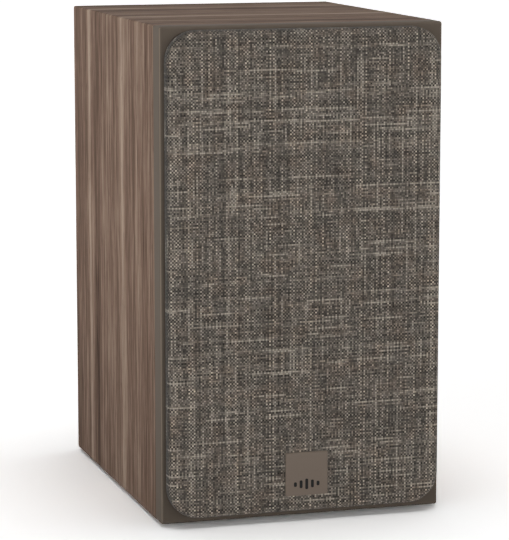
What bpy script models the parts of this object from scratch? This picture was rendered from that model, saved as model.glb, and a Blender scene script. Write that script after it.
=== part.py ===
"""Bookshelf loudspeaker: a foil-wrapped cabinet with a painted baffle, a cloth grille that pulls off,
a mid-woofer, a dome tweeter, a reflex port, screw terminals and a crossover.

The frame is +Z up, the front faces -Y, and the origin is under the middle of the whole object.
Depths inside the two drivers are measured inwards (+Y) from the baffle's face.
"""

import math

import bmesh
import bpy
from mathutils import Matrix, Vector

MM = 0.001

# ---------------------------------------------------------------- driving dimensions
CABINET_WIDTH = 162 * MM
CABINET_HEIGHT = 274 * MM
CABINET_DEPTH = 201 * MM  # baffle face to back face
WALL = 12 * MM  # folded board of the sleeve
SLEEVE_EDGE_RADIUS = 1.0 * MM
BAFFLE_THICKNESS = 12 * MM
BAFFLE_EDGE_RADIUS = 1.5 * MM
BACK_THICKNESS = 12 * MM
FOOT_HEIGHT = 1.2 * MM
FOOT_RADIUS = 6 * MM
FOOT_INSET = 20 * MM
FIT = 0.3 * MM  # gap between two pieces that touch
OVERSHOOT = 1.5 * MM  # how far a cutter runs past the face that it opens

# grille
GRILLE_PROUD = 8.2 * MM
GRILLE_SIDE_INSET = 2.6 * MM
GRILLE_TOP_INSET = 2.2 * MM
GRILLE_BOTTOM_INSET = 4.0 * MM
GRILLE_CORNER_RADIUS = 17 * MM
GRILLE_EDGE_RADIUS = 3.0 * MM
GRILLE_BACK_GAP = 0.5 * MM
GRILLE_TRAVEL_PEG = 8 * MM  # how deep a peg reaches behind the frame
CLOTH_THICKNESS = 0.8 * MM
FRAME_SIDE_RAIL = 8.0 * MM
FRAME_TOP_RAIL = 9.0 * MM
FRAME_BOTTOM_RAIL = 15.0 * MM
WINDOW_CORNER_RADIUS = 34 * MM
PEG_RADIUS = 3.2 * MM
PEG_INSET_X = 15 * MM  # from the cabinet's side
PEG_INSET_Z = 18 * MM  # from the cabinet's top or bottom
SOCKET_WALL = 1.2 * MM
SOCKET_FLOOR = 1.5 * MM
BADGE_SIDE = 24.5 * MM
BADGE_THICKNESS = 0.9 * MM
BADGE_CORNER_RADIUS = 0.6 * MM
BADGE_LIFT = 13.4 * MM  # from the cabinet's underside to the badge's lower edge

# woofer
WOOFER_MARGIN = 19.6 * MM  # cabinet underside to the driver's rebate
WOOFER_SEGMENTS = 32
MOTOR_SEGMENTS = 24
FLANGE_RADIUS = 67 * MM
FLANGE_THICKNESS = 2.5 * MM
REBATE_CLEARANCE = 1.4 * MM
WOOFER_REBATE_DEPTH = 4.0 * MM
GASKET_THICKNESS = 0.8 * MM
FLANGE_LAND = 7 * MM  # flange left outside the surround's lip
SURROUND_ROLL_RADIUS = 4.5 * MM
SURROUND_OUTER_LIP = 4.75 * MM
SURROUND_THICKNESS = 0.6 * MM
SURROUND_INNER_LIP = 2.75 * MM
CONE_DEPTH = 22.7 * MM
CONE_THICKNESS = 0.9 * MM
CONE_FLARE = 1.3
COIL_RADIUS = 12.5 * MM  # inside of the voice-coil former
FORMER_THICKNESS = 0.4 * MM
WINDING_THICKNESS = 0.7 * MM
WINDING_LENGTH = 10 * MM
COIL_CLEARANCE = 0.4 * MM
DUST_CAP_RADIUS = 18 * MM
DUST_CAP_HEIGHT = 6.5 * MM
DUST_CAP_THICKNESS = 0.6 * MM
BASKET_WALL = 2.4 * MM
SHOULDER_INSET = 9 * MM  # from the flange's edge to the basket below it
BASKET_SHOULDER_DEPTH = 7 * MM
SPIDER_DEPTH = 31 * MM
SPIDER_OUTER_RADIUS = 37 * MM
SPIDER_THICKNESS = 0.5 * MM
SPIDER_WAVE = 1.1 * MM
SPIDER_WAVES = 3
LANDING_WIDTH = 6 * MM  # the basket's shelf under the spider's rim
BASKET_DEPTH = 49 * MM
BASKET_SPOKES = 6
BASKET_WINDOW_WIDTH = 34 * MM
TOP_PLATE_THICKNESS = 5 * MM
TOP_PLATE_RADIUS = 38 * MM
MAGNET_THICKNESS = 15 * MM
MAGNET_RADIUS = 45 * MM
MAGNET_BORE = 19 * MM
YOKE_THICKNESS = 6 * MM
YOKE_RADIUS = 42 * MM
POLE_VENT_RADIUS = 4 * MM
WOOFER_SCREW_INSET = 4.2 * MM  # from the flange's edge
TAG_SIZE = (16 * MM, 12 * MM, 1.4 * MM)  # across, along the depth, thick

# tweeter
TWEETER_SEGMENTS = 24
FACEPLATE_SEGMENTS = 32
REBATE_WALL = 3.2 * MM  # wood left between the two rebates
FACEPLATE_RADIUS = 43 * MM
FACEPLATE_PROUD = 1.2 * MM
TWEETER_REBATE_DEPTH = 3.0 * MM
TWEETER_REBATE_CLEARANCE = 0.4 * MM
WAVEGUIDE_RADIUS = 33 * MM
WAVEGUIDE_THROAT = 19 * MM
DOME_RADIUS = 14.2 * MM
DOME_HEIGHT = 5.2 * MM
DOME_THICKNESS = 0.35 * MM
DOME_ROLL_RADIUS = 1.8 * MM
DOME_ROLL_CENTRE = 16.6 * MM
DOME_LIP_RADIUS = 24 * MM
DOME_ROLL_THICKNESS = 0.4 * MM
TWEETER_COIL_RADIUS = 13.3 * MM
TWEETER_FORMER_THICKNESS = 0.3 * MM
TWEETER_WINDING_THICKNESS = 0.5 * MM
TWEETER_FORMER_LENGTH = 5.5 * MM
TWEETER_TOP_PLATE = 4 * MM
TWEETER_MAGNET = 10 * MM
TWEETER_YOKE = 4 * MM
TWEETER_MOTOR_RADIUS = 32 * MM
TWEETER_MAGNET_BORE = 16.5 * MM
TWEETER_SCREW_CIRCLE = 38.5 * MM

# screws: head radius, head height, shank radius, length under the head
WOOFER_SCREW = (2.9 * MM, 1.5 * MM, 1.7 * MM, 10.9 * MM)
TWEETER_SCREW = (2.2 * MM, 1.4 * MM, 1.3 * MM, 10.0 * MM)
SCREW_CLEARANCE = 0.4 * MM

# back of the cabinet
PORT_BELOW_TOP = 88 * MM
PORT_RADIUS = 20 * MM
PORT_WALL = 2.3 * MM
PORT_LENGTH = 108 * MM
PORT_FLARE = 12 * MM
PORT_RIM_WIDTH = 4 * MM
PORT_RIM_THICKNESS = 1.7 * MM
PORT_SEGMENTS = 28
TERMINAL_REACH = 22.8 * MM  # how far the knobs stand behind the back face
TERMINAL_HEIGHT = 62 * MM
PLATE_WIDTH = 84 * MM
PLATE_HEIGHT = 58 * MM
PLATE_THICKNESS = 3 * MM
PLATE_CORNER_RADIUS = 6 * MM
SPIGOT_WIDTH = 58 * MM
SPIGOT_HEIGHT = 34 * MM
SPIGOT_DEPTH = 5 * MM
POST_SPACING = 19 * MM
POST_RADIUS = 3.0 * MM
POST_BORE = 2.05 * MM
POST_BORE_DEPTH = 10.4 * MM
POST_COLLAR_RADIUS = 6.0 * MM
POST_COLLAR = 2.6 * MM
POST_TAIL_RADIUS = 2.3 * MM
POST_END_RECESS = 2.0 * MM
WIRE_HOLE_RADIUS = 1.3 * MM
POST_SEGMENTS = 16
KNOB_RADIUS = 6.2 * MM
KNOB_RIB = 0.5 * MM
KNOB_CHAMFER = 0.8 * MM
WASHER_RADIUS = 5.4 * MM
WASHER_THICKNESS = 1.0 * MM
THREAD_CLEARANCE = 0.4 * MM
HANGER_MARGIN = 2 * MM  # sleeve's inner face to the hanger plate
HANGER_WIDTH = 44 * MM
HANGER_HEIGHT = 24 * MM
HANGER_THICKNESS = 1.5 * MM
KEYHOLE_RADIUS = 4.6 * MM
KEYHOLE_SLOT_WIDTH = 5.2 * MM
KEYHOLE_DROP = 3.5 * MM  # the round end, below the plate's middle
KEYHOLE_RISE = 8.0 * MM  # the slot's end, above the plate's middle
HANGER_POCKET_DEPTH = 7 * MM

# inside the cabinet
BOARD_WIDTH = 96 * MM
BOARD_HEIGHT = 64 * MM
BOARD_THICKNESS = 1.6 * MM
BOARD_STAND_OFF = 11.4 * MM  # back panel's inner face to the board
PAD_THICKNESS = 8 * MM
PAD_MARGIN = 12 * MM
PAD_FRONT = 40 * MM  # behind the baffle's face
LEAD_RADIUS = 1.9 * MM
LEAD_POINT_SPACING = 9 * MM

# ---------------------------------------------------------------- places worked out from them
CABINET_BOTTOM = FOOT_HEIGHT + FIT
CABINET_TOP = CABINET_BOTTOM + CABINET_HEIGHT
BADGE_PROUD = FIT + BADGE_THICKNESS
OVERALL_DEPTH = BADGE_PROUD + GRILLE_PROUD + CABINET_DEPTH + TERMINAL_REACH
BAFFLE_FACE = -OVERALL_DEPTH / 2 + BADGE_PROUD + GRILLE_PROUD
BACK_FACE = BAFFLE_FACE + CABINET_DEPTH
BACK_INNER = BACK_FACE - BACK_THICKNESS

SURROUND_LIP_RADIUS = FLANGE_RADIUS - FLANGE_LAND
BASKET_SHOULDER_RADIUS = FLANGE_RADIUS - SHOULDER_INSET
WOOFER_SCREW_CIRCLE = FLANGE_RADIUS - WOOFER_SCREW_INSET
WOOFER_REBATE_RADIUS = FLANGE_RADIUS + REBATE_CLEARANCE
WOOFER_HOLE_RADIUS = BASKET_SHOULDER_RADIUS + REBATE_CLEARANCE
WOOFER_Z = CABINET_BOTTOM + WOOFER_MARGIN + WOOFER_REBATE_RADIUS
TWEETER_REBATE_RADIUS = FACEPLATE_RADIUS + TWEETER_REBATE_CLEARANCE
TWEETER_HOLE_RADIUS = TWEETER_MOTOR_RADIUS + REBATE_CLEARANCE
TWEETER_Z = WOOFER_Z + WOOFER_REBATE_RADIUS + REBATE_WALL + TWEETER_REBATE_RADIUS

FLANGE_BACK = WOOFER_REBATE_DEPTH - FIT - GASKET_THICKNESS - FIT
FLANGE_FRONT = FLANGE_BACK - FLANGE_THICKNESS
LIP_FRONT = FLANGE_FRONT
LIP_BACK = LIP_FRONT + SURROUND_THICKNESS
LEDGE = LIP_BACK + FIT
ROLL_OUTER = SURROUND_LIP_RADIUS - SURROUND_OUTER_LIP
SURROUND_ROLL_CENTRE = ROLL_OUTER - SURROUND_ROLL_RADIUS
ROLL_INNER = SURROUND_ROLL_CENTRE - SURROUND_ROLL_RADIUS
CONE_OUTER = ROLL_INNER - FIT
CONE_FLARE_START = CONE_OUTER - SURROUND_INNER_LIP + FIT
CONE_FRONT = LIP_BACK + FIT
FORMER_OUTER = COIL_RADIUS + FORMER_THICKNESS
CONE_NECK = FORMER_OUTER + COIL_CLEARANCE
WINDING_OUTER = FORMER_OUTER + WINDING_THICKNESS
GAP_OUTER = WINDING_OUTER + COIL_CLEARANCE
POLE_RADIUS = COIL_RADIUS - COIL_CLEARANCE
TOP_PLATE_FRONT = BASKET_DEPTH + FIT
MAGNET_FRONT = TOP_PLATE_FRONT + TOP_PLATE_THICKNESS + FIT
YOKE_FRONT = MAGNET_FRONT + MAGNET_THICKNESS + FIT
YOKE_BACK = YOKE_FRONT + YOKE_THICKNESS
SPIDER_LANDING = SPIDER_DEPTH + SPIDER_THICKNESS / 2 + FIT

FACEPLATE_BACK = TWEETER_REBATE_DEPTH - FIT
DOME_LIP_FRONT = FACEPLATE_BACK + FIT
DOME_LIP_BACK = DOME_LIP_FRONT + DOME_ROLL_THICKNESS
TWEETER_PLATE_FRONT = DOME_LIP_BACK + FIT
TWEETER_MAGNET_FRONT = TWEETER_PLATE_FRONT + TWEETER_TOP_PLATE + FIT
TWEETER_YOKE_FRONT = TWEETER_MAGNET_FRONT + TWEETER_MAGNET + FIT
TWEETER_YOKE_BACK = TWEETER_YOKE_FRONT + TWEETER_YOKE

PORT_Z = CABINET_TOP - PORT_BELOW_TOP
PORT_OUTER = PORT_RADIUS + PORT_WALL
PORT_FLARE_RADIUS = PORT_RADIUS + PORT_FLARE
PORT_HUB_RADIUS = PORT_FLARE_RADIUS + PORT_WALL / 2
TERMINAL_Z = CABINET_BOTTOM + TERMINAL_HEIGHT
PLATE_BACK = BACK_FACE + FIT
PLATE_FRONT = PLATE_BACK + PLATE_THICKNESS
COLLAR_BACK = PLATE_FRONT + FIT
COLLAR_END = COLLAR_BACK + POST_COLLAR
WASHER_START = COLLAR_END + FIT
KNOB_START = WASHER_START + WASHER_THICKNESS + FIT
KNOB_END = BACK_FACE + TERMINAL_REACH
POST_END = KNOB_END - POST_END_RECESS
THREAD_HOLE = POST_RADIUS + THREAD_CLEARANCE
HANGER_Z = CABINET_TOP - WALL - HANGER_MARGIN - HANGER_HEIGHT / 2
BOARD_BACK = BACK_INNER - BOARD_STAND_OFF
BOARD_FRONT = BOARD_BACK - BOARD_THICKNESS

GRILLE_BACK = BAFFLE_FACE - GRILLE_BACK_GAP
GRILLE_FRONT = BAFFLE_FACE - GRILLE_PROUD
GRILLE_WIDTH = CABINET_WIDTH - 2 * GRILLE_SIDE_INSET
GRILLE_HEIGHT = CABINET_HEIGHT - GRILLE_TOP_INSET - GRILLE_BOTTOM_INSET
GRILLE_Z = CABINET_BOTTOM + GRILLE_BOTTOM_INSET + GRILLE_HEIGHT / 2
FRAME_INSET = CLOTH_THICKNESS + FIT
FRAME_FRONT = GRILLE_FRONT + FRAME_INSET
SOCKET_BORE = PEG_RADIUS + FIT
SOCKET_RADIUS = SOCKET_BORE + SOCKET_WALL
SOCKET_DEPTH = GRILLE_TRAVEL_PEG + SOCKET_FLOOR
PEG_X = CABINET_WIDTH / 2 - PEG_INSET_X
PEG_ZS = (CABINET_BOTTOM + PEG_INSET_Z, CABINET_TOP - PEG_INSET_Z)


# ---------------------------------------------------------------- tools
def material(name, colour, roughness, metallic=0.0):
    """A Principled BSDF of one colour, made once and then shared."""
    made = bpy.data.materials.get(name) or bpy.data.materials.new(name)
    made.use_nodes = True
    shader = made.node_tree.nodes["Principled BSDF"]
    shader.inputs["Base Color"].default_value = (*colour, 1.0)
    shader.inputs["Roughness"].default_value = roughness
    shader.inputs["Metallic"].default_value = metallic
    return made


WALNUT = ("walnut_foil", (0.155, 0.110, 0.085), 0.5)
TAUPE = ("taupe_paint", (0.115, 0.092, 0.072), 0.45)
CLOTH = ("grille_fabric", (0.10, 0.085, 0.070), 0.95)
BLACK_PLASTIC = ("black_plastic", (0.02, 0.02, 0.02), 0.4)
RED_PLASTIC = ("red_plastic", (0.45, 0.02, 0.02), 0.35)
RUBBER = ("black_rubber", (0.025, 0.025, 0.025), 0.8)
FIBRE = ("cone_fibre", (0.16, 0.055, 0.035), 0.75)
SILK = ("dome_silk", (0.02, 0.02, 0.022), 0.7)
STEEL = ("plated_steel", (0.60, 0.60, 0.60), 0.35, 1.0)
BLACK_STEEL = ("blackened_steel", (0.05, 0.05, 0.05), 0.45, 1.0)
FERRITE = ("ferrite", (0.045, 0.045, 0.05), 0.6)
COPPER = ("copper_wire", (0.65, 0.25, 0.12), 0.35, 1.0)
GOLD = ("gold_plate", (0.80, 0.55, 0.22), 0.25, 1.0)
SPIDER_CLOTH = ("spider_cloth", (0.45, 0.30, 0.12), 0.9)
FOAM = ("gasket_foam", (0.03, 0.03, 0.03), 0.95)
WADDING = ("wadding", (0.70, 0.70, 0.68), 1.0)
BOARD = ("circuit_board", (0.03, 0.10, 0.05), 0.4)
CEMENT = ("cement", (0.60, 0.58, 0.54), 0.85)


def add(name, mesh, look, place=(0.0, 0.0, 0.0), parent=None):
    """Links one named object with its material, shaded smooth where it is round."""
    mesh.name = name
    mesh.shade_smooth()
    mesh.set_sharp_from_angle(angle=math.radians(35))
    mesh.materials.append(material(*look))
    made = bpy.data.objects.new(name, mesh)
    made.location = place
    made.parent = parent
    bpy.context.scene.collection.objects.link(made)
    return made


def helper(name, mesh, place=(0.0, 0.0, 0.0), parent=None):
    """A cutter or a piece to join: it shapes another object and isn't a part itself."""
    made = bpy.data.objects.new(name, mesh)
    made.location = place
    made.parent = parent
    made.hide_render = True
    made.display_type = "WIRE"
    bpy.context.scene.collection.objects.link(made)
    return made


def boolean(target, tool, operation="DIFFERENCE"):
    """Cuts tool from target, or joins it on, as a live modifier."""
    modifier = target.modifiers.new(tool.name, "BOOLEAN")
    modifier.operation = operation
    modifier.solver = "EXACT"
    modifier.object = tool


def mesh_of(work, weld=1e-7):
    """Closes the bmesh: doubles merged, and faces turned outwards."""
    bmesh.ops.remove_doubles(work, verts=work.verts, dist=weld)
    bmesh.ops.recalc_face_normals(work, faces=work.faces)
    mesh = bpy.data.meshes.new("mesh")
    work.to_mesh(mesh)
    work.free()
    return mesh


def turned(profile, segments, closed=True):
    """A profile of (radius, depth) points spun about the Y axis. An open one ends on the axis."""
    work = bmesh.new()
    points = [work.verts.new((radius, depth, 0.0)) for radius, depth in profile]
    ends = points[1:] + ([points[0]] if closed else [])
    edges = [work.edges.new(pair) for pair in zip(points, ends)]
    bmesh.ops.spin(work, geom=points + edges, axis=(0, 1, 0), angle=2 * math.pi, steps=segments)
    return mesh_of(work)


def ring(inner, outer, front, back, segments):
    """A flat washer with a rectangular section."""
    return turned([(inner, front), (outer, front), (outer, back), (inner, back)], segments)


def rod(radius, front, back, segments):
    """A solid cylinder along Y."""
    return turned([(0, front), (radius, front), (radius, back), (0, back)], segments, closed=False)


def arc(centre, radius, start, end, steps):
    """Points of a circular arc as (radius, depth); angles in degrees, and 90 points forwards."""
    angles = [math.radians(start + (end - start) * step / steps) for step in range(steps + 1)]
    return [(centre[0] + radius * math.cos(a), centre[1] - radius * math.sin(a)) for a in angles]


def rounded_rectangle(width, height, radius, steps=4):
    """The outline (x, z) of a rectangle with round corners, counter-clockwise from the lower right."""
    outline = []
    for quarter, (sx, sz) in enumerate(((1, -1), (1, 1), (-1, 1), (-1, -1))):
        for step in range(steps + 1):
            angle = math.radians(-90 + 90 * quarter + 90 * step / steps)
            x = sx * (width / 2 - radius) + radius * math.cos(angle)
            z = sz * (height / 2 - radius) + radius * math.sin(angle)
            outline.append((x, z))
    return outline


def lofted(sections, closed=False):
    """Skins (outline, depth) sections along Y, capping both ends unless they join up in a ring."""
    work = bmesh.new()
    loops = [[work.verts.new((x, depth, z)) for x, z in outline] for outline, depth in sections]
    pairs = list(zip(loops, loops[1:]))
    if closed:
        pairs.append((loops[-1], loops[0]))
    else:
        work.faces.new(loops[0])
        work.faces.new(reversed(loops[-1]))
    for near, far in pairs:
        for i in range(len(near)):
            work.faces.new((near[i - 1], near[i], far[i], far[i - 1]))
    return mesh_of(work)


def edge_step(radius, turn):
    """How far in, and how far back, a rounded edge is after turning so many degrees from the side."""
    angle = math.radians(turn)
    return radius * (1 - math.cos(angle)), radius * (1 - math.sin(angle))


def block(width, depth, height, edge=0.0):
    """A box about its own middle, with its edges taken off."""
    work = bmesh.new()
    bmesh.ops.create_cube(work, size=1.0, matrix=Matrix.Diagonal((width, depth, height, 1.0)))
    if edge:
        bmesh.ops.bevel(work, geom=work.edges[:], offset=edge, segments=1, affect="EDGES")
    return mesh_of(work)


def joined(meshes):
    """Several separate closed shapes as one mesh; each comes with the place that it is moved to."""
    work = bmesh.new()
    for mesh, place in meshes:
        moved = mesh.copy()
        moved.transform(Matrix.Translation(place))
        work.from_mesh(moved)
    mesh = bpy.data.meshes.new("joined")
    work.to_mesh(mesh)
    work.free()
    return mesh


def around(radius, count, first=45.0):
    """Places in the XZ plane, evenly round a circle."""
    angles = [math.radians(first + 360 * k / count) for k in range(count)]
    return [Vector((radius * math.cos(a), 0.0, radius * math.sin(a))) for a in angles]


# ---------------------------------------------------------------- cabinet
def cabinet_sleeve():
    """The board folded round into the sides, top and bottom, with its corners just taken off."""
    outer = rounded_rectangle(CABINET_WIDTH, CABINET_HEIGHT, SLEEVE_EDGE_RADIUS, 2)
    inner_size = (CABINET_WIDTH - 2 * WALL, CABINET_HEIGHT - 2 * WALL)
    inner = rounded_rectangle(*inner_size, SLEEVE_EDGE_RADIUS, 2)
    front, back = BAFFLE_THICKNESS + FIT, CABINET_DEPTH
    mesh = lofted([(outer, front), (outer, back), (inner, back), (inner, front)], closed=True)
    add("cabinet_sleeve", mesh, WALNUT, (0, BAFFLE_FACE, (CABINET_BOTTOM + CABINET_TOP) / 2))


def driver_cutter(rebate, depth, hole, segments):
    """A stepped plug: the rebate for a driver's flange, and the hole behind it."""
    front, back = -OVERSHOOT, BAFFLE_THICKNESS + OVERSHOOT
    profile = [(0, front), (rebate, front), (rebate, depth), (hole, depth), (hole, back), (0, back)]
    return turned(profile, segments, closed=False)


def front_baffle():
    """The painted board with its front edge rounded, and the openings for all that it carries."""
    sections = [(rounded_rectangle(CABINET_WIDTH, CABINET_HEIGHT, BAFFLE_EDGE_RADIUS), BAFFLE_THICKNESS)]
    for turn in (0, 30, 60, 90):
        inset, depth = edge_step(BAFFLE_EDGE_RADIUS, turn)
        radius = max(BAFFLE_EDGE_RADIUS - inset, 0.2 * MM)
        size = (CABINET_WIDTH - 2 * inset, CABINET_HEIGHT - 2 * inset)
        sections.append((rounded_rectangle(*size, radius), depth))
    middle = (CABINET_BOTTOM + CABINET_TOP) / 2
    board = add("front_baffle", lofted(sections), TAUPE, (0, BAFFLE_FACE, middle))

    woofer = driver_cutter(WOOFER_REBATE_RADIUS, WOOFER_REBATE_DEPTH, WOOFER_HOLE_RADIUS, WOOFER_SEGMENTS)
    tweeter = driver_cutter(TWEETER_REBATE_RADIUS, TWEETER_REBATE_DEPTH, TWEETER_HOLE_RADIUS, FACEPLATE_SEGMENTS)
    back = BAFFLE_THICKNESS + OVERSHOOT
    pilot = rod(WOOFER_SCREW[2] + SCREW_CLEARANCE, WOOFER_REBATE_DEPTH - OVERSHOOT, back, 8)
    small_pilot = rod(TWEETER_SCREW[2] + SCREW_CLEARANCE, TWEETER_REBATE_DEPTH - OVERSHOOT, back, 8)
    socket = rod(SOCKET_RADIUS + FIT, -OVERSHOOT, SOCKET_DEPTH + FIT, 12)
    woofer_at = Vector((0, 0, WOOFER_Z - middle))
    tweeter_at = Vector((0, 0, TWEETER_Z - middle))
    openings = [(woofer, woofer_at), (tweeter, tweeter_at)]
    openings += [(socket, Vector((x, 0, z - middle))) for x in (-PEG_X, PEG_X) for z in PEG_ZS]
    holes = [(pilot, woofer_at + spot) for spot in around(WOOFER_SCREW_CIRCLE, 4)]
    holes += [(small_pilot, tweeter_at + spot) for spot in around(TWEETER_SCREW_CIRCLE, 4)]
    boolean(board, helper("baffle_openings", joined(openings), board.location))
    boolean(board, helper("baffle_pilot_holes", joined(holes), board.location))


def back_panel():
    """The board let into the sleeve's rear end, with its openings for port, terminals and hanger."""
    width = CABINET_WIDTH - 2 * WALL - 2 * FIT
    height = CABINET_HEIGHT - 2 * WALL - 2 * FIT
    outline = rounded_rectangle(width, height, SLEEVE_EDGE_RADIUS, 2)
    middle = (CABINET_BOTTOM + CABINET_TOP) / 2
    panel = add("back_panel", lofted([(outline, 0), (outline, BACK_THICKNESS)]), WALNUT, (0, BACK_INNER, middle))

    through = (-OVERSHOOT, BACK_THICKNESS + OVERSHOOT)
    port = rod(PORT_HUB_RADIUS + 2 * FIT, *through, PORT_SEGMENTS)
    spigot = rounded_rectangle(SPIGOT_WIDTH + 4 * FIT, SPIGOT_HEIGHT + 4 * FIT, PLATE_CORNER_RADIUS)
    terminal = lofted([(spigot, through[0]), (spigot, through[1])])
    recess_floor = BACK_THICKNESS - HANGER_THICKNESS - 2 * FIT
    plate = rounded_rectangle(HANGER_WIDTH + 2 * FIT, HANGER_HEIGHT + 2 * FIT, 2 * MM)
    recess = lofted([(plate, recess_floor), (plate, through[1])])
    room = rounded_rectangle(2 * KEYHOLE_RADIUS + 4 * MM, HANGER_HEIGHT - 4 * MM, 2 * MM)
    pocket = lofted([(room, recess_floor - HANGER_POCKET_DEPTH), (room, BACK_THICKNESS)])
    cutters = [
        (port, Vector((0, 0, PORT_Z - middle))),
        (terminal, Vector((0, 0, TERMINAL_Z - middle))),
        (recess, Vector((0, 0, HANGER_Z - middle))),
    ]
    boolean(panel, helper("back_openings", joined(cutters), panel.location))
    boolean(panel, helper("hanger_pocket", joined([(pocket, cutters[2][1])]), panel.location))


def feet():
    """Four thin rubber discs, just inside the corners."""
    mesh = turned(
        [(0, 0), (FOOT_RADIUS - 0.3 * MM, 0), (FOOT_RADIUS, 0.3 * MM), (FOOT_RADIUS, FOOT_HEIGHT), (0, FOOT_HEIGHT)],
        16,
        closed=False,
    )
    mesh.transform(Matrix.Rotation(math.radians(90), 4, "X"))
    x = CABINET_WIDTH / 2 - FOOT_INSET
    for side, sx in (("left", -x), ("right", x)):
        for end, y in (("front", BAFFLE_FACE + FOOT_INSET), ("rear", BACK_FACE - FOOT_INSET)):
            add(f"rubber_foot_{end}_{side}", mesh.copy(), RUBBER, (sx, y, 0))


def hanger_plate():
    """The wall hanger: a steel plate let into the back, with a keyhole whose narrow end is up."""
    outline = rounded_rectangle(HANGER_WIDTH, HANGER_HEIGHT, 2 * MM)
    place = (0, BACK_FACE - FIT - HANGER_THICKNESS, HANGER_Z)
    plate = add("wall_hanger_plate", lofted([(outline, 0), (outline, HANGER_THICKNESS)]), STEEL, place)
    slot = []
    half = math.asin(KEYHOLE_SLOT_WIDTH / 2 / KEYHOLE_RADIUS)
    for step in range(13):
        angle = math.pi / 2 + half + (2 * math.pi - 2 * half) * step / 12
        slot.append((KEYHOLE_RADIUS * math.cos(angle), KEYHOLE_RADIUS * math.sin(angle) - KEYHOLE_DROP))
    for step in range(7):
        angle = math.pi * step / 6
        rise = KEYHOLE_RISE - KEYHOLE_SLOT_WIDTH / 2
        slot.append((KEYHOLE_SLOT_WIDTH / 2 * math.cos(angle), rise + KEYHOLE_SLOT_WIDTH / 2 * math.sin(angle)))
    keyhole = lofted([(slot, -OVERSHOOT), (slot, HANGER_THICKNESS + OVERSHOOT)])
    boolean(plate, helper("keyhole", keyhole, place))


# ---------------------------------------------------------------- grille
def grille_outline(inset, steps=5):
    """The grille's outline drawn in by inset."""
    radius = max(GRILLE_CORNER_RADIUS - inset, 1 * MM)
    return rounded_rectangle(GRILLE_WIDTH - 2 * inset, GRILLE_HEIGHT - 2 * inset, radius, steps)


def grille_cloth():
    """The cloth as a shallow tray: flat in front, round at the edge, and down the frame's sides."""
    outside = [(grille_outline(0), GRILLE_BACK)]
    inside = [(grille_outline(CLOTH_THICKNESS), GRILLE_BACK)]
    for turn in (0, 30, 60, 90):
        inset, depth = edge_step(GRILLE_EDGE_RADIUS, turn)
        outside.append((grille_outline(inset), GRILLE_FRONT + depth))
    for turn in (0, 45, 90):
        inset, depth = edge_step(GRILLE_EDGE_RADIUS - CLOTH_THICKNESS, turn)
        inside.append((grille_outline(CLOTH_THICKNESS + inset), GRILLE_FRONT + CLOTH_THICKNESS + depth))
    add("grille_cloth", lofted([*reversed(outside), *inside]), CLOTH, (0, 0, GRILLE_Z))


def grille_frame():
    """A flat frame with a large window, and a peg at each corner that fits a socket in the baffle."""
    window_width = GRILLE_WIDTH - 2 * FRAME_INSET - 2 * FRAME_SIDE_RAIL
    window_height = GRILLE_HEIGHT - 2 * FRAME_INSET - FRAME_TOP_RAIL - FRAME_BOTTOM_RAIL
    shift = (FRAME_BOTTOM_RAIL - FRAME_TOP_RAIL) / 2
    window = [(x, z + shift) for x, z in rounded_rectangle(window_width, window_height, WINDOW_CORNER_RADIUS, 5)]
    edge = GRILLE_EDGE_RADIUS - FRAME_INSET
    outer = grille_outline(FRAME_INSET)
    sections = [
        (outer, GRILLE_BACK),
        (outer, FRAME_FRONT + edge),
        (grille_outline(FRAME_INSET + edge), FRAME_FRONT),
        (window, FRAME_FRONT),
        (window, GRILLE_BACK),
    ]
    frame = add("grille_frame", lofted(sections, closed=True), BLACK_PLASTIC, (0, 0, GRILLE_Z))
    peg = rod(PEG_RADIUS, (FRAME_FRONT + GRILLE_BACK) / 2, BAFFLE_FACE + GRILLE_TRAVEL_PEG - FIT, 12)
    pegs = [(peg, Vector((x, 0, z - GRILLE_Z))) for x in (-PEG_X, PEG_X) for z in PEG_ZS]
    boolean(frame, helper("grille_pegs", joined(pegs), frame.location), "UNION")


def grille_sockets():
    """Rubber cups in the baffle that grip the grille's pegs."""
    floor = SOCKET_DEPTH - SOCKET_FLOOR + FIT
    inside = [(0, floor), (SOCKET_BORE, floor), (SOCKET_BORE, 0)]
    outside = [(SOCKET_RADIUS, 0), (SOCKET_RADIUS, SOCKET_DEPTH), (0, SOCKET_DEPTH)]
    mesh = turned([*inside, *outside], 12, closed=False)
    for side, x in (("left", -PEG_X), ("right", PEG_X)):
        for end, z in zip(("lower", "upper"), PEG_ZS):
            add(f"grille_socket_{end}_{side}", mesh.copy(), RUBBER, (x, BAFFLE_FACE, z))


def badge():
    """The plain square plate low on the grille."""
    outline = rounded_rectangle(BADGE_SIDE, BADGE_SIDE, BADGE_CORNER_RADIUS, 2)
    front = GRILLE_FRONT - BADGE_PROUD
    mesh = lofted([(outline, front), (outline, front + BADGE_THICKNESS)])
    add("badge_plate", mesh, TAUPE, (0, 0, CABINET_BOTTOM + BADGE_LIFT + BADGE_SIDE / 2))


# ---------------------------------------------------------------- woofer
WOOFER_AT = (0, BAFFLE_FACE, WOOFER_Z)
TWEETER_AT = (0, BAFFLE_FACE, TWEETER_Z)


def drill(name, target, radius, front, back, spots, origin):
    """Drills the same round hole through a piece at several spots."""
    hole = rod(radius, front, back, 8)
    boolean(target, helper(name, joined([(hole, spot) for spot in spots]), origin))


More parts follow.
